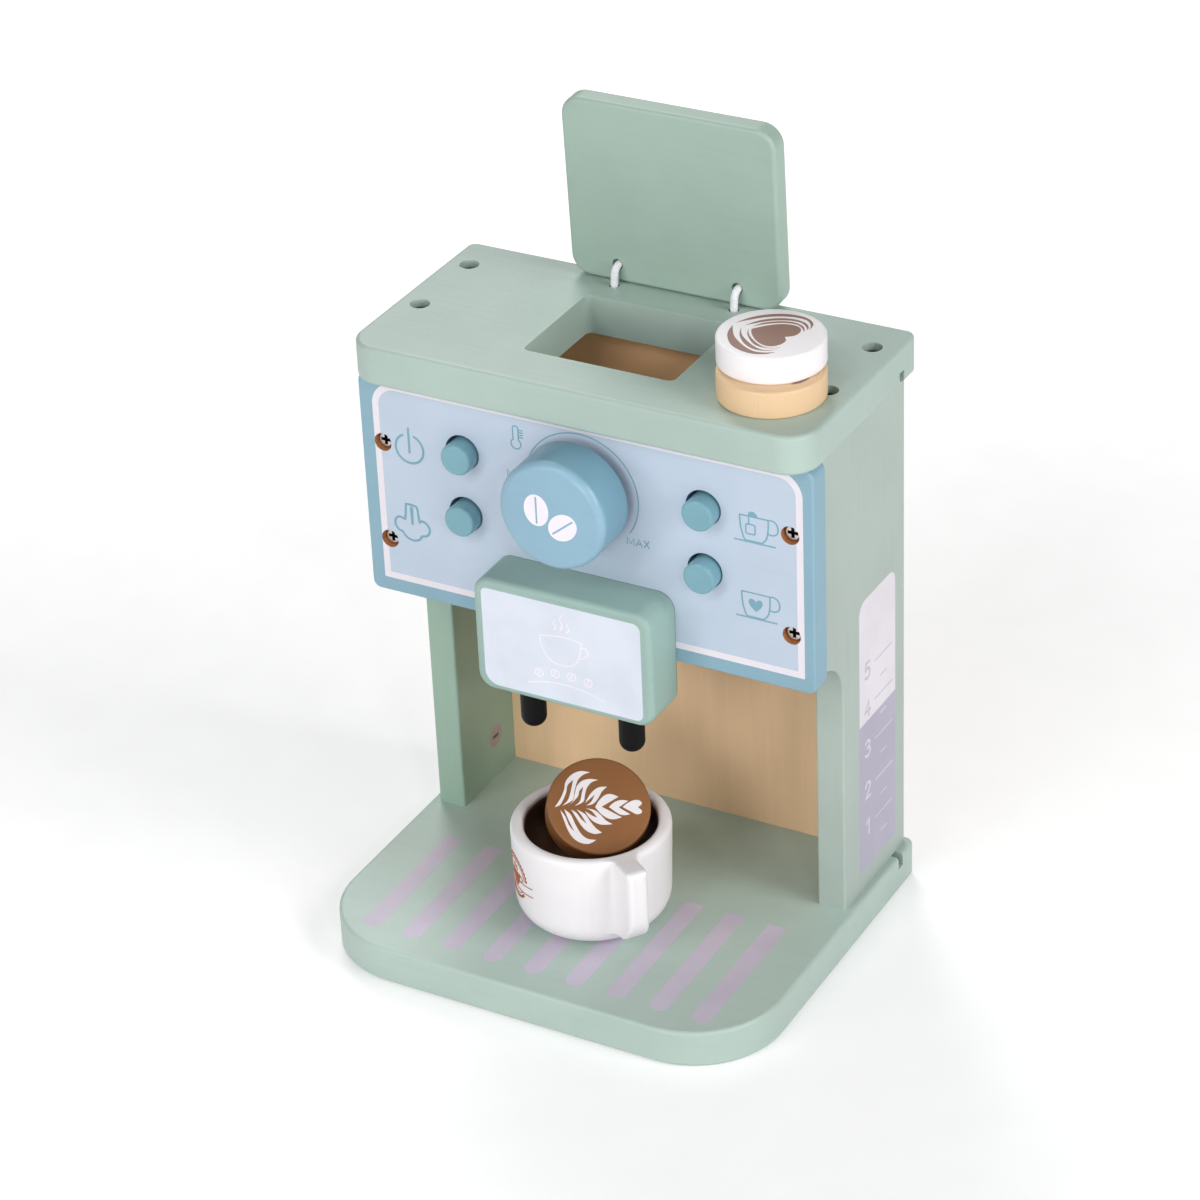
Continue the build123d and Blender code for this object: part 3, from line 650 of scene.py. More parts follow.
def cord_path(x):
    """The cord's middle line: up out of the board, round a tight bend, back through the lid, to a knot."""
    lean = math.radians(LID_LEAN)
    back = Vector((0, math.cos(lean), math.sin(lean)))
    over = Vector((0, -math.sin(lean), math.cos(lean)))
    start = Vector((x, LID_FRONT_Y, LID_HOLE_Z))
    corner = start - back * ((LID_FRONT_Y - CORD_Y) / math.cos(lean))
    turn = math.radians(90 - LID_LEAN)
    tangent = CORD_BEND_RADIUS * math.tan(turn / 2)
    bend_low = corner - UP * tangent
    points = [Vector((x, CORD_Y, BODY_TOP_Z - CORD_DEPTH)), Vector((x, CORD_Y, BODY_TOP_Z - 3)),
              Vector((x, CORD_Y, BODY_TOP_Z)), Vector((x, CORD_Y, (BODY_TOP_Z + bend_low.z) / 2))]
    for i in range(9):
        a = turn * i / 8
        points.append(bend_low + (BACK * (1 - math.cos(a)) + UP * math.sin(a)) * CORD_BEND_RADIUS)
    knot = Vector((x, *KNOT_CENTRE))
    bend_end = points[-1]
    points += [bend_end.lerp(knot, part) for part in (0.2, 0.45, 0.7, 0.88)]
    side = 1 if x > 0 else -1
    for across, up, depth in KNOT_TURNS:
        points.append(knot + RIGHT * (across * side) + over * up + back * depth)
    low, high = BODY_TOP_Z, bend_end.z
    for point in points:
        point.x += CORD_ASIDE * min(1.0, max(0.0, (point.z - low) / (high - low)))
    return points


def braided_tube(bm, points, radius, around=28, lay=2.1, relief=0.13, step=0.16):
    """Tube with the raised, crossing strands of a braid, drawn tighter in the knot at its far end."""
    length = [0.0]
    for a, b in zip(points, points[1:]):
        length.append(length[-1] + (b - a).length)
    steps = int(length[-1] / step)
    rings = []
    side = RIGHT
    for k in range(steps + 1):
        at = length[-1] * k / steps
        i = max(j for j in range(len(points) - 1) if length[j] <= at + 1e-9)
        part = (at - length[i]) / (length[i + 1] - length[i])
        centre = points[i].lerp(points[i + 1], part)
        ahead = (points[i + 1] - points[i]).normalized()
        before = (points[i] - points[i - 1]).normalized() if i else ahead
        after = (points[i + 2] - points[i + 1]).normalized() if i + 2 < len(points) else ahead
        tangent = before.lerp(ahead, 0.5 + part) if part < 0.5 else ahead.lerp(after, part - 0.5)
        tangent.normalize()
        side = side - tangent * side.dot(tangent)
        side.normalize()
        normal = side.cross(tangent)
        row = []
        for n in range(around):
            a = 2 * math.pi * n / around
            wave = math.sin(4 * a + 2 * math.pi * at / lay) * math.sin(4 * a - 2 * math.pi * at / lay)
            tight = min(1.0, max(0.0, (at - length[-1] + KNOT_LENGTH) / 2))
            reach = radius + (KNOT_RADIUS - radius) * tight - relief * (0.5 - 0.5 * wave)
            place = centre + side * (reach * math.cos(a)) + normal * (reach * math.sin(a))
            row.append(bm.verts.new(place * MM))
        rings.append(row)
    for low, high in zip(rings, rings[1:]):
        bridge(bm, low, high)
    bm.faces.new(rings[0])
    bm.faces.new(rings[-1])


def make_cord(name, x, material):
    bm = bmesh.new()
    braided_tube(bm, [Vector(place) for place in curve(cord_path(x), 4)], CORD_RADIUS)
    return new_object(name, bm, material, smooth=True)


# ---- Printed artwork
def curve(points, steps=5):
    """Smooth line through points, in steps pieces from each to the next."""
    line = [points[0]]
    for i in range(len(points) - 1):
        before = points[max(i - 1, 0)]
        after = points[min(i + 2, len(points) - 1)]
        for k in range(1, steps + 1):
            t = k / steps
            place = []
            for a, b, c, d in zip(before, points[i], points[i + 1], after):
                place.append(0.5 * (2 * b + (c - a) * t + (2 * a - 5 * b + 4 * c - d) * t ** 2
                                    + (3 * b - a - 3 * c + d) * t ** 3))
            line.append(tuple(place))
    return line


def outline(*chains):
    """Closed outline of smooth chains: each starts where the one before ends, at a sharp corner."""
    loop = []
    for i, chain in enumerate(chains):
        loop += curve([chains[i - 1][-1], *chain])[1:]
    return loop


def stroke(points, width, tip=None):
    """Outline of a line of ink with round ends; tip is its width at the far end."""
    count = len(points)
    left, right = [], []
    for i, (u, v) in enumerate(points):
        runs = []
        for a, b in ((i - 1, i), (i, i + 1)):
            if a >= 0 and b < count:
                du, dv = points[b][0] - points[a][0], points[b][1] - points[a][1]
                length = math.hypot(du, dv)
                runs.append((-dv / length, du / length))
        across = [sum(run[k] for run in runs) / len(runs) for k in (0, 1)]
        square = max(across[0] ** 2 + across[1] ** 2, 0.3)
        half = (width if tip is None else width + (tip - width) * i / (count - 1)) / 2 / square
        left.append((u + across[0] * half, v + across[1] * half))
        right.append((u - across[0] * half, v - across[1] * half))
    ends = []
    for end, first in ((points[-1], left[-1]), (points[0], right[0])):
        radius = math.hypot(first[0] - end[0], first[1] - end[1])
        turn = math.degrees(math.atan2(first[1] - end[1], first[0] - end[0]))
        ends.append(arc(end[0], end[1], radius, turn, turn - 180, 6)[1:-1])
    return left + ends[0] + right[::-1] + ends[1]


def ring(centre_u, centre_v, radius, width, steps=72):
    return [arc(centre_u, centre_v, radius + side * width / 2, 0, 360, steps)[:-1] for side in (1, -1)]


def rounded(low, high, radii):
    """Rectangle whose corners have their own radii, from the lower right one upward and round."""
    left, right, bottom, top = low[0], high[0], low[1], high[1]
    corners = ((right, bottom, -1, 1), (right, top, -1, -1), (left, top, 1, -1), (left, bottom, 1, 1))
    loop = []
    for turn, ((u, v, du, dv), radius) in enumerate(zip(corners, radii)):
        start = -90 + 90 * turn
        loop += arc(u + du * radius, v + dv * radius, radius, start, start + 90, 8)
    return loop


LETTER_GAP = 0.34            # as a share of the height, as are the widths and points of the signs
GLYPHS = {
    "M": (0.96, [[(0, 0), (0, 1), (0.48, 0.12), (0.96, 1), (0.96, 0)]]),
    "A": (0.78, [[(0, 0), (0.39, 1), (0.78, 0)], [(0.14, 0.34), (0.64, 0.34)]]),
    "X": (0.70, [[(0, 0), (0.7, 1)], [(0, 1), (0.7, 0)]]),
    "I": (0.05, [[(0.02, 0), (0.02, 1)]]),
    "N": (0.74, [[(0, 0), (0, 1), (0.74, 0), (0.74, 1)]]),
    "1": (0.36, [[(0.0, 0.78), (0.3, 1), (0.3, 0)]]),
    "2": (0.62, [curve([(0.02, 0.74), (0.12, 0.94), (0.32, 1.0), (0.56, 0.86), (0.54, 0.58), (0.0, 0.0)], 4)
                 + [(0.62, 0.0)]]),
    "3": (0.60, [curve([(0.02, 0.9), (0.28, 1.0), (0.53, 0.85), (0.48, 0.62), (0.22, 0.54)], 4),
                 curve([(0.22, 0.54), (0.52, 0.46), (0.6, 0.24), (0.42, 0.03), (0.2, 0.0), (0.0, 0.12)], 4)]),
    "4": (0.66, [[(0.48, 0), (0.48, 1), (0.0, 0.3)], [(0.0, 0.3), (0.66, 0.3)]]),
    "5": (0.60, [[(0.54, 1), (0.12, 1), (0.06, 0.54)],
                 curve([(0.06, 0.54), (0.3, 0.63), (0.55, 0.5), (0.57, 0.2), (0.35, 0.0), (0.0, 0.1)], 4)]),
}


def lettering(text, centre_u, base_v, height, width):
    """Strokes of plain capitals or digits, centred on a place."""
    length = sum(GLYPHS[sign][0] for sign in text) + LETTER_GAP * (len(text) - 1)
    at = -length / 2
    shapes = []
    for sign in text:
        advance, lines = GLYPHS[sign]
        for line in lines:
            places = [(centre_u + (at + u) * height, base_v + v * height) for u, v in line]
            shapes.append(stroke(places, width))
        at += advance + LETTER_GAP
    return shapes


INK_HEIGHT = 0.035           # of each layer of ink
INK_STEP = 0.004             # between shapes of one colour, so that those that cross don't share a plane


def add_plate(bm, loops, low, high):
    """Thin closed plate from an outline and its holes, in (u, v, height) millimetres."""
    triangles = tessellate_polygon([[Vector((u, v, 0)) for u, v in loop] for loop in loops])
    top = [[bm.verts.new((u, v, high)) for u, v in loop] for loop in loops]
    under = [[bm.verts.new((u, v, low)) for u, v in loop] for loop in loops]
    flat_top = [vertex for loop in top for vertex in loop]
    flat_under = [vertex for loop in under for vertex in loop]
    for triangle in triangles:
        bm.faces.new([flat_top[i] for i in triangle])
        bm.faces.new([flat_under[i] for i in reversed(triangle)])
    for upper, lower in zip(top, under):
        bridge(bm, upper, lower)


def flat_face(origin, right, up):
    """Place of a point on a flat face: across, up and off it."""
    out = right.cross(up)
    return lambda u, v, height: origin + right * u + up * v + out * height


def print_on(name, face, shapes, material, body, layer=0, depth=0.05, strip=None):
    """One colour of ink on a face; layer counts the inks under it, strip cuts it to bend round a curve."""
    bm = bmesh.new()
    for number, shape in enumerate(shapes):
        loops = shape if isinstance(shape[0], list) else [shape]
        add_plate(bm, loops, -depth, INK_HEIGHT * (1 + layer) + INK_STEP * (number % 5))
    if strip:
        reach = int(max(abs(vertex.co.x) for vertex in bm.verts) / strip) + 1
        for k in range(-reach, reach + 1):
            geometry = bm.verts[:] + bm.edges[:] + bm.faces[:]
            bmesh.ops.bisect_plane(bm, geom=geometry, plane_co=(k * strip, 0, 0), plane_no=(1, 0, 0))
    for vertex in bm.verts:
        vertex.co = face(*vertex.co) * MM
    made = new_object(name, bm, material)
    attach(made, body)
    return made


def low_corner(node):
    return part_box(node)[0] / MM


def high_corner(node):
    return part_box(node)[1] / MM


def middle(node):
    return (low_corner(node) + high_corner(node)) / 2


def moved(points, u, v):
    return [(u + across, v + up) for across, up in points]


def cup_icon(u, v):
    """Lines of a cup on a saucer; u and v are the middle of its rim."""
    left = [(-4.6, 0.0), (-4.5, -2.1), (-4.2, -4.6), (-3.4, -7.3), (-2.7, -8.1)]
    right = [(4.5, 0.0), (4.5, -2.6), (4.1, -5.5), (3.4, -7.0), (2.3, -8.1)]
    handle = [(4.5, 0.0), (5.8, 0.1), (7.0, -0.6), (7.6, -2.1), (7.4, -3.6), (6.6, -4.4), (5.3, -4.7),
              (4.4, -4.5)]
    lines = [stroke(moved([(-4.6, 0.0), (4.5, 0.0)], u, v), 0.46)]
    lines += [stroke(curve(moved(line, u, v)), 0.48) for line in (left, right, handle)]
    lines.append(stroke(moved([(-6.4, -8.4), (6.6, -8.4)], u, v), 0.5))
    lines.append(stroke(moved([(-2.8, -8.2), (2.4, -8.2)], u, v), 0.8))
    return lines


def power_icon():
    return [stroke(arc(-58.42, 156.3, 4.78, 116, 428, 40), 0.75),
            stroke([(-58.5, 163.2), (-58.5, 155.1)], 0.75)]


def steam_icon():
    """Cloud of steam round the jet of a nozzle."""
    cloud = [curve([(-61.15, 136.9), (-59.05, 137.0), (-57.55, 136.6), (-57.15, 135.5)]) + [(-56.75, 131.4)],
             curve([(-56.75, 131.4), (-55.85, 132.1), (-54.45, 131.6), (-53.35, 130.1), (-53.45, 128.6),
                    (-54.35, 127.4), (-56.25, 126.8)]),
             curve([(-56.25, 126.8), (-56.95, 125.6), (-58.55, 124.8), (-60.25, 124.8), (-61.85, 125.6),
                    (-62.85, 127.0)]),
             curve([(-62.85, 127.0), (-64.25, 127.5), (-65.25, 128.9), (-65.15, 130.8), (-63.75, 132.0),
                    (-61.75, 131.5)]),
             [(-61.75, 131.5), (-61.45, 133.5), (-61.15, 136.9)]]
    return [stroke(line, 0.75) for line in cloud] + [stroke([(-59.25, 135.9), (-59.25, 130.4)], 1.2, 0.8)]


def thermometer():
    tube = [(-20.5, 167.7)] + arc(-21.4, 171.4, 0.9, 0, 180, 10) + [(-22.3, 167.7)]
    lines = [stroke(tube, 0.42), stroke(arc(-21.4, 166.3, 1.65, 122, 418, 24), 0.42)]
    return lines + [stroke([(-20.4, z), (-19.0, z)], 0.36) for z in (171.1, 170.3, 169.5, 168.7)]


def panel_icons():
    """Power, steam, heat, a cup with a tea bag and a cup with a heart."""
    shapes = power_icon() + steam_icon() + thermometer()
    shapes += cup_icon(56.2, 159.9) + cup_icon(56.3, 134.6)
    shapes += [stroke([(54.5, 160.0), (54.45, 157.5)], 0.42)]
    bag = rounded((53.3, 153.9), (56.7, 157.5), (0.7, 0.7, 0.7, 0.7))
    inner = rounded((53.75, 154.35), (56.25, 157.05), (0.35, 0.35, 0.35, 0.35))
    tag = outline([(54.4, 161.0), (55.4, 161.6), (56.7, 161.2), (57.5, 159.8)], [(54.2, 159.9)])
    shapes += [[bag, inner], tag]
    shapes.append(outline([(54.5, 130.1), (53.9, 131.6), (54.5, 132.6), (55.7, 132.4), (56.2, 131.6)],
                          [(56.8, 132.4), (57.9, 132.6), (58.4, 131.5), (57.8, 130.1), (56.3, 128.5)]))
    return shapes


DIAL_MIDDLE_Z = 155.5
DIAL_ARC_RADIUS = 18.75


def dial_marks():
    """The dial's range: an arc round it with a word at either end."""
    marks = [stroke(arc(0.0, DIAL_MIDDLE_Z, DIAL_ARC_RADIUS, 262, -33, 96), 0.42)]
    return marks + lettering("MAX", 18.2, 141.3, 2.3, 0.4) + lettering("MIN", -22.1, 155.1, 2.2, 0.4)


def steam(wisps, sway, width, tip):
    """Wavy lines that taper upward; each wisp is its place across and its lower and upper ends."""
    lines = []
    for u, low, high in wisps:
        rise = (high - low) / 3
        points = [(u, low), (u + sway[0], low + rise), (u + sway[1], low + 2 * rise), (u + sway[2], high)]
        lines.append(stroke(curve(points), width, tip))
    return lines


PLATE_CORNERS = (-27.1, 91.6), (26.2, 124.8)
PLATE_RADII = (2.3, 2.5, 1.8, 4.5)


def plate_art():
    """A line drawing of a steaming cup, and an arched line under it."""
    bowl = curve([(-7.7, 113.0), (-7.2, 109.6), (-5.6, 106.6), (-3.3, 104.7), (0.4, 104.3), (3.4, 105.4),
                  (5.5, 108.4), (6.4, 113.6)])
    rim = curve([(-7.7, 113.0), (-3.0, 113.9), (2.0, 114.2), (6.4, 113.6)])
    lines = [stroke(rim, 0.42), stroke(bowl, 0.42)]
    lines.append(stroke(curve([(6.2, 112.0), (7.9, 112.0), (8.5, 110.6), (7.4, 109.0), (5.2, 107.9)]), 0.42))
    wisps = [(-2.6, 116.2, 119.4), (-0.4, 116.6, 121.6), (1.8, 116.2, 119.4)]
    lines += steam(wisps, (0.7, -0.2, 0.6), 0.62, 0.25)
    for u, v in ((-8.4, 99.9), (-2.9, 100.9), (2.6, 101.1), (8.1, 100.5)):
        lines.append(ring(u, v, 1.35, 0.42, 30))
        lines.append(stroke(curve(moved([(-0.7, -1.1), (0.2, 0.0), (-0.2, 0.4), (0.7, 1.2)], u, v)), 0.36))
    swash = curve([(-12.3, 95.6), (-6.0, 97.2), (0.7, 97.7), (7.4, 97.0), (13.8, 95.2)])
    return lines + [stroke(swash, 0.5, 0.3)]


STRIPE_MIDDLES = [0.2 + 14.25 * i for i in range(-4, 5)]
STRIPE_ENDS = (-53.4, 0.3)
STRIPE_WIDTH = 6.3
BEAN_LENGTH = 10.3
BEAN_WIDTH = 8.1


def stripe(u):
    """Stripe of the drip area, round at its front end."""
    half, (front, rear) = STRIPE_WIDTH / 2, STRIPE_ENDS
    return [(u + half, rear), (u - half, rear)] + arc(u, front + half, half, 180, 360, 14)


def bean(u, v, turn):
    """Coffee bean with its slit, its long axis turned from level by an angle."""
    a = math.radians(turn)
    body = []
    for i in range(48):
        t = 2 * math.pi * i / 48
        long, short = BEAN_LENGTH / 2 * math.cos(t), BEAN_WIDTH / 2 * math.sin(t)
        body.append((u + long * math.cos(a) - short * math.sin(a),
                     v + long * math.sin(a) + short * math.cos(a)))
    end = BEAN_LENGTH / 2 - 1
    slit = [(u + reach * math.cos(a), v + reach * math.sin(a)) for reach in (-end, end)]
    return [body, stroke(slit, 0.6)]


# Leaves of the drawn rosetta, and the bands round the drawn heart: right and up from their middle.
ROSETTA = [
    outline([(-11.9, 1.5), (-10.7, 4.6), (-10.2, 7.4), (-8.4, 9.8), (-5.7, 11.1), (-2.7, 10.8)],
            [(-4.8, 9.9), (-6.5, 8.0), (-7.5, 4.4), (-8.1, 1.4), (-11.2, -0.6)],
            [(-9.6, 1.2), (-8.8, 3.6), (-7.9, 8.1)],
            [(-9.6, 6.2), (-10.1, 3.6), (-11.7, -0.1), (-13.5, -1.1)]),
    outline([(-7.9, 1.3), (-7.4, 3.6), (-6.8, 6.0), (-5.3, 7.8), (-3.0, 8.6), (-0.3, 8.4)],
            [(-2.3, 7.5), (-3.7, 5.6), (-4.3, 3.2), (-4.8, 1.0), (-7.4, -0.5)],
            [(-5.8, 1.2), (-5.3, 3.6), (-4.8, 6.0)], [(-6.0, 4.5), (-6.5, 2.6), (-9.2, -0.5)]),
    outline([(-3.2, 2.8), (-1.7, 4.8), (0.1, 6.0), (2.5, 6.3)],
            [(0.9, 4.6), (-0.1, 2.6), (-1.7, 0.5), (-3.9, -0.2)],
            [(-2.3, 1.2), (-1.3, 3.6)], [(-2.5, 2.3), (-4.2, 0.7)]),
    outline([(-10.7, -5.2), (-9.4, -8.6), (-7.8, -11.0), (-5.7, -12.4), (-3.1, -12.7), (-0.8, -11.3)],
            [(-3.3, -11.1), (-5.2, -9.8), (-7.0, -6.9), (-8.6, -3.4), (-10.6, -1.7)],
            [(-9.4, -4.8), (-7.5, -8.9)], [(-9.1, -6.9), (-10.3, -4.0), (-11.8, -2.0)]),
    outline([(-7.0, -4.2), (-5.4, -6.8), (-3.6, -8.6), (-1.3, -9.4), (0.9, -8.9)],
            [(-1.0, -7.4), (-2.7, -5.3), (-4.2, -3.1), (-6.8, -1.6)],
            [(-5.4, -3.4), (-3.7, -6.2)], [(-5.4, -4.7), (-6.9, -2.7), (-8.5, -1.7)]),
    outline([(-3.0, -4.1), (-1.2, -5.6), (1.0, -6.3), (4.2, -6.0)],
            [(2.2, -4.9), (0.5, -3.1), (-1.4, -1.6), (-4.0, -1.1)],
            [(-2.2, -2.0), (-0.5, -4.1)], [(-2.1, -3.4), (-4.3, -2.0)]),
    outline([(0.0, 1.6), (1.7, 3.4), (3.6, 3.9), (6.0, 3.1)], [(0.8, -0.4)], [(7.0, -3.6)],
            [(4.9, -4.3), (2.9, -4.2), (0.8, -2.9), (-1.2, -0.6)]),
    outline([(4.5, 1.1), (6.5, 2.0), (9.0, 1.9)], [(6.0, -0.4)], [(9.5, -2.5)],
            [(7.8, -2.9), (6.0, -2.5), (3.0, -0.4)]),
    outline([(9.0, 1.3), (10.8, 2.2), (12.4, 2.1), (13.1, 1.1), (11.9, -0.1)],
            [(13.1, -1.2), (12.8, -2.1), (11.4, -2.4), (9.4, -1.4), (7.2, -0.2)]),
]
LATTE_HEART = [
    outline([(-3.6, 3.5), (-0.5, 6.0), (3.0, 7.1), (5.8, 6.5), (7.1, 4.4), (6.8, 1.5), (4.5, -0.5)],
            [(5.8, -2.4), (5.6, -4.9), (3.9, -7.1), (1.4, -7.5), (-1.9, -5.8), (-4.9, -2.5), (-6.3, 0.1)]),
    outline([(-9.8, 6.5), (-6.4, 10.0), (-2.3, 12.3), (2.2, 13.1), (6.0, 12.3), (8.5, 9.8), (9.0, 6.4)],
            [(8.0, 9.1), (5.8, 11.3), (2.2, 11.8), (-1.8, 10.8), (-5.8, 8.5), (-9.4, 5.1), (-12.2, 1.9)]),
    outline([(-7.0, 5.3), (-4.3, 8.0), (-1.1, 9.8), (2.8, 10.5), (6.2, 9.6), (8.1, 7.6), (8.4, 6.0)],
            [(7.3, 7.6), (5.2, 9.2), (2.4, 9.5), (-0.7, 8.6), (-3.8, 6.8), (-6.6, 4.2), (-9.0, 1.4)]),
    outline([(-5.0, 4.8), (-2.6, 6.8), (-0.2, 8.1), (2.9, 8.7), (6.0, 7.8), (7.6, 5.9), (8.0, 4.7)],
            [(6.7, 6.3), (4.7, 7.7), (2.5, 7.8), (0.1, 7.2), (-2.2, 5.9), (-4.7, 3.9), (-6.7, 1.8)]),
    outline([(-11.6, -4.1), (-9.9, -7.7), (-6.9, -11.2), (-3.1, -13.1), (0.8, -13.5), (4.1, -12.3),
             (6.2, -10.1)],
            [(3.7, -11.5), (0.6, -12.0), (-2.9, -10.6), (-6.5, -8.0), (-9.4, -5.0), (-12.3, 0.1)]),
    outline([(-8.2, -3.6), (-6.4, -6.4), (-3.7, -9.1), (-0.6, -10.7), (2.0, -10.8), (4.2, -9.9), (6.2, -8.2)],
            [(4.0, -9.7), (1.6, -10.1), (-1.6, -8.8), (-5.2, -6.1), (-7.6, -3.6), (-9.4, -0.1)]),
    outline([(-6.2, -2.7), (-4.3, -5.4), (-1.8, -7.8), (0.5, -8.8), (2.6, -8.8), (4.5, -8.2), (6.4, -6.7)],
            [(4.3, -8.1), (2.2, -8.5), (-0.7, -7.3), (-3.8, -4.9), (-5.9, -2.5), (-7.2, 0.2)]),
]
EMBLEM_AZIMUTH = -133.0
EMBLEM_HEIGHT = 18.6
EMBLEM_RADIUS = 7.0


def cup_face(u, v, height):
    """Round the cup's wall: u along it, v up from the middle of the emblem."""
    up = EMBLEM_HEIGHT + v
    low = CUP_BASE_RADIUS + CUP_FOOT_BULGE
    slope = (CUP_RADIUS - low) / (CUP_HEIGHT - CUP_FOOT_FILLET - CUP_RIM_RADIUS)
    radius = low + slope * (up - CUP_FOOT_FILLET) + height
    a = math.radians(EMBLEM_AZIMUTH) + u / CUP_RADIUS
    return Vector((CUP_CENTRE[0] + radius * math.cos(a), CUP_CENTRE[1] + radius * math.sin(a),
                   BASE_TOP_Z + up))


def scallops(start, end, pitch=11.0, bulge=0.62, band=0.42):
    """Part of a ring whose outer edge is a row of small scallops."""
    count = round((end - start) / pitch)
    outer = []
    for i in range(count):
        turn = start + (end - start) * (i + 0.5) / count
        a = math.radians(turn)
        outer += arc(EMBLEM_RADIUS * math.cos(a), EMBLEM_RADIUS * math.sin(a), bulge, turn - 90, turn + 90, 6)
    return outer + arc(0, 0, EMBLEM_RADIUS - band, end, start, 40)


def emblem():
    """Steaming cup in a ring of small scallops, which two plain lines cross."""
    shapes = []
    for start, end in ((4, 176), (222, 318)):
        shapes.append(scallops(start, end))
        shapes.append(stroke(arc(0, 0, EMBLEM_RADIUS - 1.15, start + 1, end - 1, 40), 0.34))
    low, high = (moved([(-9.9, 0.5), (-4.9, -0.1), (0, -0.3), (4.9, -0.1), (9.9, 0.5)], 0, v)
                 for v in (-3.8, -0.7))
    for line in (high[:2] + [(-3.2, -0.95)], [(3.2, -0.95)] + high[3:], low):
        shapes.append(stroke(curve(line), 0.36))
    shapes.append(outline([(3.4, 1.7)], [(2.8, -0.5), (1.5, -2.8), (0.8, -3.2), (-0.8, -3.2)],
                          [(-1.5, -2.8), (-2.8, -0.5), (-3.4, 1.7)]))
    shapes.append(stroke(curve([(3.1, 1.1), (4.3, 1.3), (4.6, 0.2), (3.7, -0.8), (2.6, -0.9)]), 0.45))
    wisps = [(-1.2, 2.4, 4.1), (0.0, 2.4, 4.9), (1.2, 2.4, 4.1)]
    return shapes + steam(wisps, (0.35, -0.25, 0.2), 0.5, 0.22)


ROSETTA_TILT = 34.5
ROSETTA_AZIMUTH = -48.3
ROSETTA_CENTRE = (3.86, -13.13, 49.7)


def rosetta_face():
    """Face of the leaning disc: across to the viewer's right, and up its slope."""
    tilt, azimuth = math.radians(ROSETTA_TILT), math.radians(ROSETTA_AZIMUTH)
    out = Vector((math.sin(tilt) * math.cos(azimuth), math.sin(tilt) * math.sin(azimuth), math.cos(tilt)))
    right = camera_axes(CAMERA_AZIMUTH, CAMERA_ELEVATION, CAMERA_ROLL)[0]
    right = (right - out * right.dot(out)).normalized()
    reach = max(vertex.co.dot(out) for vertex in nodes["rosetta_disc"].data.vertices) / MM
    centre = Vector(ROSETTA_CENTRE)
    centre += out * (reach - centre.dot(out))
    return flat_face(centre, right, out.cross(right))


GAUGE_EDGES = (27.2, 52.6, 19.3, 115.3)        # front, rear, bottom and top
GAUGE_SPLIT = 72.2           # height where its colour changes
GAUGE_LEVELS = {"5": 90.2, "4": 76.8, "3": 62.5, "2": 47.4, "1": 33.8}


def gauge_marks():
    """Digits and ticks of the gauge: those on its white part, and those on its lilac part."""
    marks = {True: [], False: []}
    for digit, level in GAUGE_LEVELS.items():
        on_white = level > GAUGE_SPLIT
        marks[on_white] += lettering(digit, 32.8, level - 2.9, 5.4, 0.95)
        marks[on_white].append(stroke([(38.0, level + 0.2), (50.2, level + 0.2)], 0.42))
        half = level - 7
        marks[half > GAUGE_SPLIT].append(stroke([(42.0, half), (46.0, half)], 0.42))
    return marks[True], marks[False]


def add_prints():
    panel, block, dial = (flat_face(Vector((0, low_corner(name).y, 0)), RIGHT, UP)
                          for name in ("front_panel", "head_block", "dial_knob"))
    side = flat_face(Vector((high_corner("side_panel_right").x, 0, 0)), BACK, UP)
    base = flat_face(Vector((0, 0, high_corner("base_board").z)), RIGHT, BACK)
    discs = {}
    for name in ("white_disc", "tan_disc"):
        centre = middle(name)
        discs[name] = flat_face(Vector((centre.x, centre.y, high_corner(name).z)), RIGHT, BACK)

    teal = ink("teal_ink", ICON)
    pale = ink("plate_ink", PLATE, 0.45)
    white = ink("white_ink", linear(240, 234, 242), 0.45)
    cocoa = ink("cocoa_ink", ART_BROWN)
    plate = rounded(*PLATE_CORNERS, PLATE_RADII)
    beans = [bean(-4.4, 157.8, 90), bean(4.1, 153.9, 39)]
    stripes = [stripe(u) for u in STRIPE_MIDDLES]
    print_on("panel_icons", panel, panel_icons(), teal, "machine")
    print_on("dial_marks", panel, dial_marks(), teal, "machine")
    print_on("block_plate", block, [plate], pale, "machine")
    print_on("plate_drawing", block, plate_art(), white, "machine", layer=1)
    print_on("dial_beans", dial, beans, white, "dial")
    print_on("drip_stripes", base, stripes, ink("stripe_ink", STRIPE), "machine")

    front, rear, bottom, top = GAUGE_EDGES
    upper = rounded((front, GAUGE_SPLIT), (rear, top), (0.05, 4.2, 4.2, 0.05))
    lower = rounded((front, bottom), (rear, GAUGE_SPLIT), (0.2, 0.05, 0.05, 0.2))
    on_white, on_lilac = gauge_marks()
    print_on("gauge_upper", side, [upper], ink("gauge_white_ink", GAUGE_WHITE), "machine")
    print_on("gauge_lower", side, [lower], ink("gauge_lilac_ink", GAUGE_LILAC), "machine")
    print_on("gauge_marks_upper", side, on_white, ink("lilac_mark_ink", linear(196, 190, 206)), "machine",
             layer=1)
    print_on("gauge_marks_lower", side, on_lilac, ink("pale_mark_ink", linear(216, 212, 224)), "machine",
             layer=1)

    leaf = outline([(11.7, -5.4), (12.8, -1.6), (11.4, -1.2)], [(10.7, -3.4), (9.6, -7.3)])
    circle = ring(0, 0, 9.2, 1.6)
    print_on("latte_heart", discs["white_disc"], LATTE_HEART, cocoa, "white_disc")
    print_on("tan_disc_ring", discs["tan_disc"], [leaf, circle], cocoa, "tan_disc")
    print_on("rosetta", rosetta_face(), ROSETTA, ink("milk_ink", linear(238, 232, 234)), "rosetta_disc")
    print_on("cup_emblem", cup_face, emblem(), ink("emblem_ink", linear(172, 96, 50)), "cup",
             layer=1, depth=0.4, strip=1.2)


# ---- Light, floor
LIGHT_AIM = Vector((0.0, 0.0, 0.10))
LIGHT_DISTANCE = 1.5
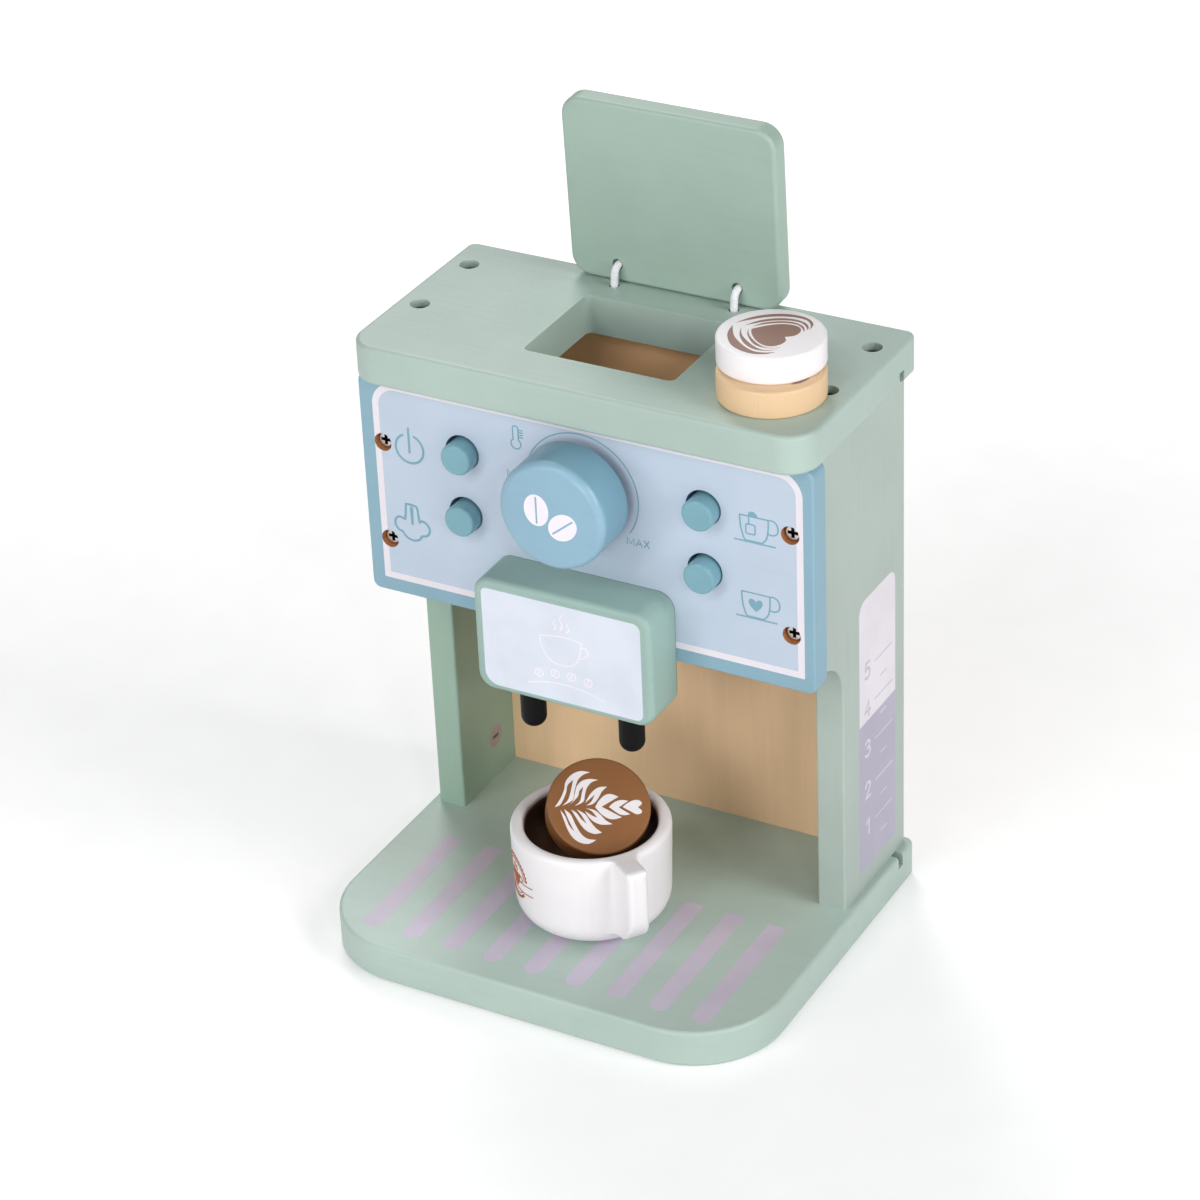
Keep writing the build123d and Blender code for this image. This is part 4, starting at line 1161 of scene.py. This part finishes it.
# Azimuth and elevation in degrees, size in metres and power in watts of each lamp.
LIGHTS = {
    "right": (90, 35, 0.6, 8.4),
    "right_front": (70, 15, 0.6, 4.8),
    "left": (-20, 35, 0.6, 4.0),
    "low_front": (5, 12, 0.6, 5.2),
    "low_left": (-32, 13, 0.45, 3.0),
    "rear": (-140, 45, 0.6, 9.0),
    "glint": (42, 29, 0.16, 2.0),
    "glint_left": (-4, 48, 0.16, 1.3),
}
AMBIENT = (0.97, 0.985, 1.0, 1.0)
AMBIENT_STRENGTH = 0.15
FLOOR_HALF = 6.0
FLOOR_DROP = 0.0002          # under the base, so that the two don't share a plane


def add_lights():
    """Soft, round lamps about the object, all turned to its middle."""
    for name, (azimuth, elevation, size, power) in LIGHTS.items():
        data = bpy.data.lights.new("light_" + name, "AREA")
        data.shape = "DISK"
        data.size = size
        data.energy = power
        away = camera_axes(azimuth, elevation, 0)[2]
        light = bpy.data.objects.new("light_" + name, data)
        light.location = LIGHT_AIM + away * LIGHT_DISTANCE
        light.rotation_euler = (-away).to_track_quat("-Z", "Y").to_euler()
        bpy.context.scene.collection.objects.link(light)


def add_world():
    """Faint light from all round, which the eye sees as white."""
    world = bpy.data.worlds.new("studio")
    bpy.context.scene.world = world
    world.use_nodes = True
    tree = world.node_tree
    tree.nodes.clear()
    output = tree.nodes.new("ShaderNodeOutputWorld")
    mix = tree.nodes.new("ShaderNodeMixShader")
    path = tree.nodes.new("ShaderNodeLightPath")
    tree.links.new(path.outputs["Is Camera Ray"], mix.inputs[0])
    for socket, colour, strength in ((1, AMBIENT, AMBIENT_STRENGTH), (2, (1.0, 1.0, 1.0, 1.0), 1.0)):
        light = tree.nodes.new("ShaderNodeBackground")
        light.inputs[0].default_value = colour
        light.inputs[1].default_value = strength
        tree.links.new(light.outputs[0], mix.inputs[socket])
    tree.links.new(mix.outputs[0], output.inputs[0])


def add_floor():
    """Pale floor that keeps the shadow; the eye and mirror rays see it lifted towards white."""
    surface = Surface("floor_paper", 0.9, 0.1)
    fleck = surface.noise(60.0, 2.0)
    surface.cover(surface.mix(fleck, (0.77, 0.77, 0.77, 1.0), (0.83, 0.83, 0.83, 1.0)))
    surface.shader.inputs["Emission Color"].default_value = (1.0, 1.0, 1.0, 1.0)
    path = surface.node("ShaderNodeLightPath")
    seen = surface.math("MAXIMUM", path.outputs["Is Camera Ray"], path.outputs["Is Glossy Ray"])
    seen = surface.math("MAXIMUM", seen, path.outputs["Is Transmission Ray"])
    away = surface.node("ShaderNodeVectorMath", surface.where, operation="LENGTH").outputs["Value"]
    lift = surface.add(0.28, surface.mul(surface.step(away, 0.15, 0.9), 0.26))
    lift = surface.add(lift, surface.mul(surface.step(away, 0.8, 3.0), 0.6))
    surface.put(surface.shader.inputs["Emission Strength"], surface.mul(seen, lift))
    bm = bmesh.new()
    bmesh.ops.create_grid(bm, x_segments=2, y_segments=2, size=FLOOR_HALF)
    floor = new_object("floor", bm, surface.material)
    floor.location = (0.0, 0.0, -FLOOR_DROP)


# ---- Materials of the wooden pieces
def dress(names, material):
    for name in names:
        mesh = nodes[name].data
        mesh.materials.clear()
        mesh.materials.append(material)


def each_button(kind):
    return ["%s_%s_%s" % (kind, row, column) for row in ("lower", "upper") for column in ("left", "right")]


# Material, nodes, colour, grain, seed, roughness, strength of the grain, paler edges (partly worn paint,
# partly painted highlight) and specular.
PAINTS = [
    # The base's paint carries painted light; the side panels' and the lid's paints carry painted shade.
    ("base_paint", ["base_board"], BASE_GREEN_PAINTED_LIGHT, "x", 1.0),
    ("left_panel_paint", ["side_panel_left"], LEFT_GREEN_PAINTED_SHADE, "z", 2.0),
    ("right_panel_paint", ["side_panel_right"], RIGHT_GREEN_PAINTED_SHADE, "z", 4.0),
    ("lid_paint", ["lid"], LID_GREEN_PAINTED_SHADE, "x", 9.0),
    ("spout_paint", ["spout_left", "spout_right"], BLACK, "z", 3.0, 0.5, 0.8, 0.2, 0.15),
    # The buttons' strong pale edges are mostly painted highlight.
    ("button_paint", each_button("button"), TEAL, "y", 5.0, 0.26, 1.6, 1.0),
    ("brown_disc_paint", ["rosetta_disc"], BROWN, "z", 2.0, 0.5, 1.6, 0.4),
    ("tan_disc_paint", ["tan_disc"], TAN, "z", 4.0, 0.5, 1.2, 0.3),
    ("white_disc_paint", ["white_disc"], WHITE, "z", 6.0, 0.42, 0.8, 0.2),
]


def dress_nodes():
    for name, names, *settings in PAINTS:
        dress(names, painted(name, *settings).material)
    for name, surface in (("top_board", top_board_surface()), ("head_block", block_surface()),
                          ("front_panel", front_panel_surface()), ("back_panel", back_panel_surface()),
                          ("dial_knob", dial_surface())):
        dress([name], surface.material)
    dress(["button_rail_left", "button_rail_right", "dial_axle", "base_dowels"],
          wood("bare_beech", RAW_WOOD, "z", 1.0).material)
    dress(["front_panel_screws"],
          metal("panel_screw_steel", linear(214, 210, 208), 0.38, 0.8, PANEL_FACE_Y + SCREW_SINK))
    dress(["dial_washer", "dial_screw", "top_screws", "head_block_screws", "button_rail_screws", "base_bolts",
           *each_button("button_spring")], metal("zinc_plated_steel", linear(196, 196, 198)))
    dress(["barrel_nuts"], metal("dull_zinc", linear(178, 168, 168), 0.5, 0.35))


# ---- The whole toy
add_camera()
add_lights()
add_world()
add_floor()
dress_nodes()

cup = make_cup(cup_surface().material)
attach(cup, "cup")
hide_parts("cup_body", "cup_handle")

cord_material = cord_surface()
for side, x in (("left", -CORD_X), ("right", CORD_X)):
    cord = make_cord("braided_cord_" + side, x, cord_material)
    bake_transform(cord)
    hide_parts("hinge_cord_" + side)

add_prints()

bpy.context.scene.view_settings.view_transform = "Standard"
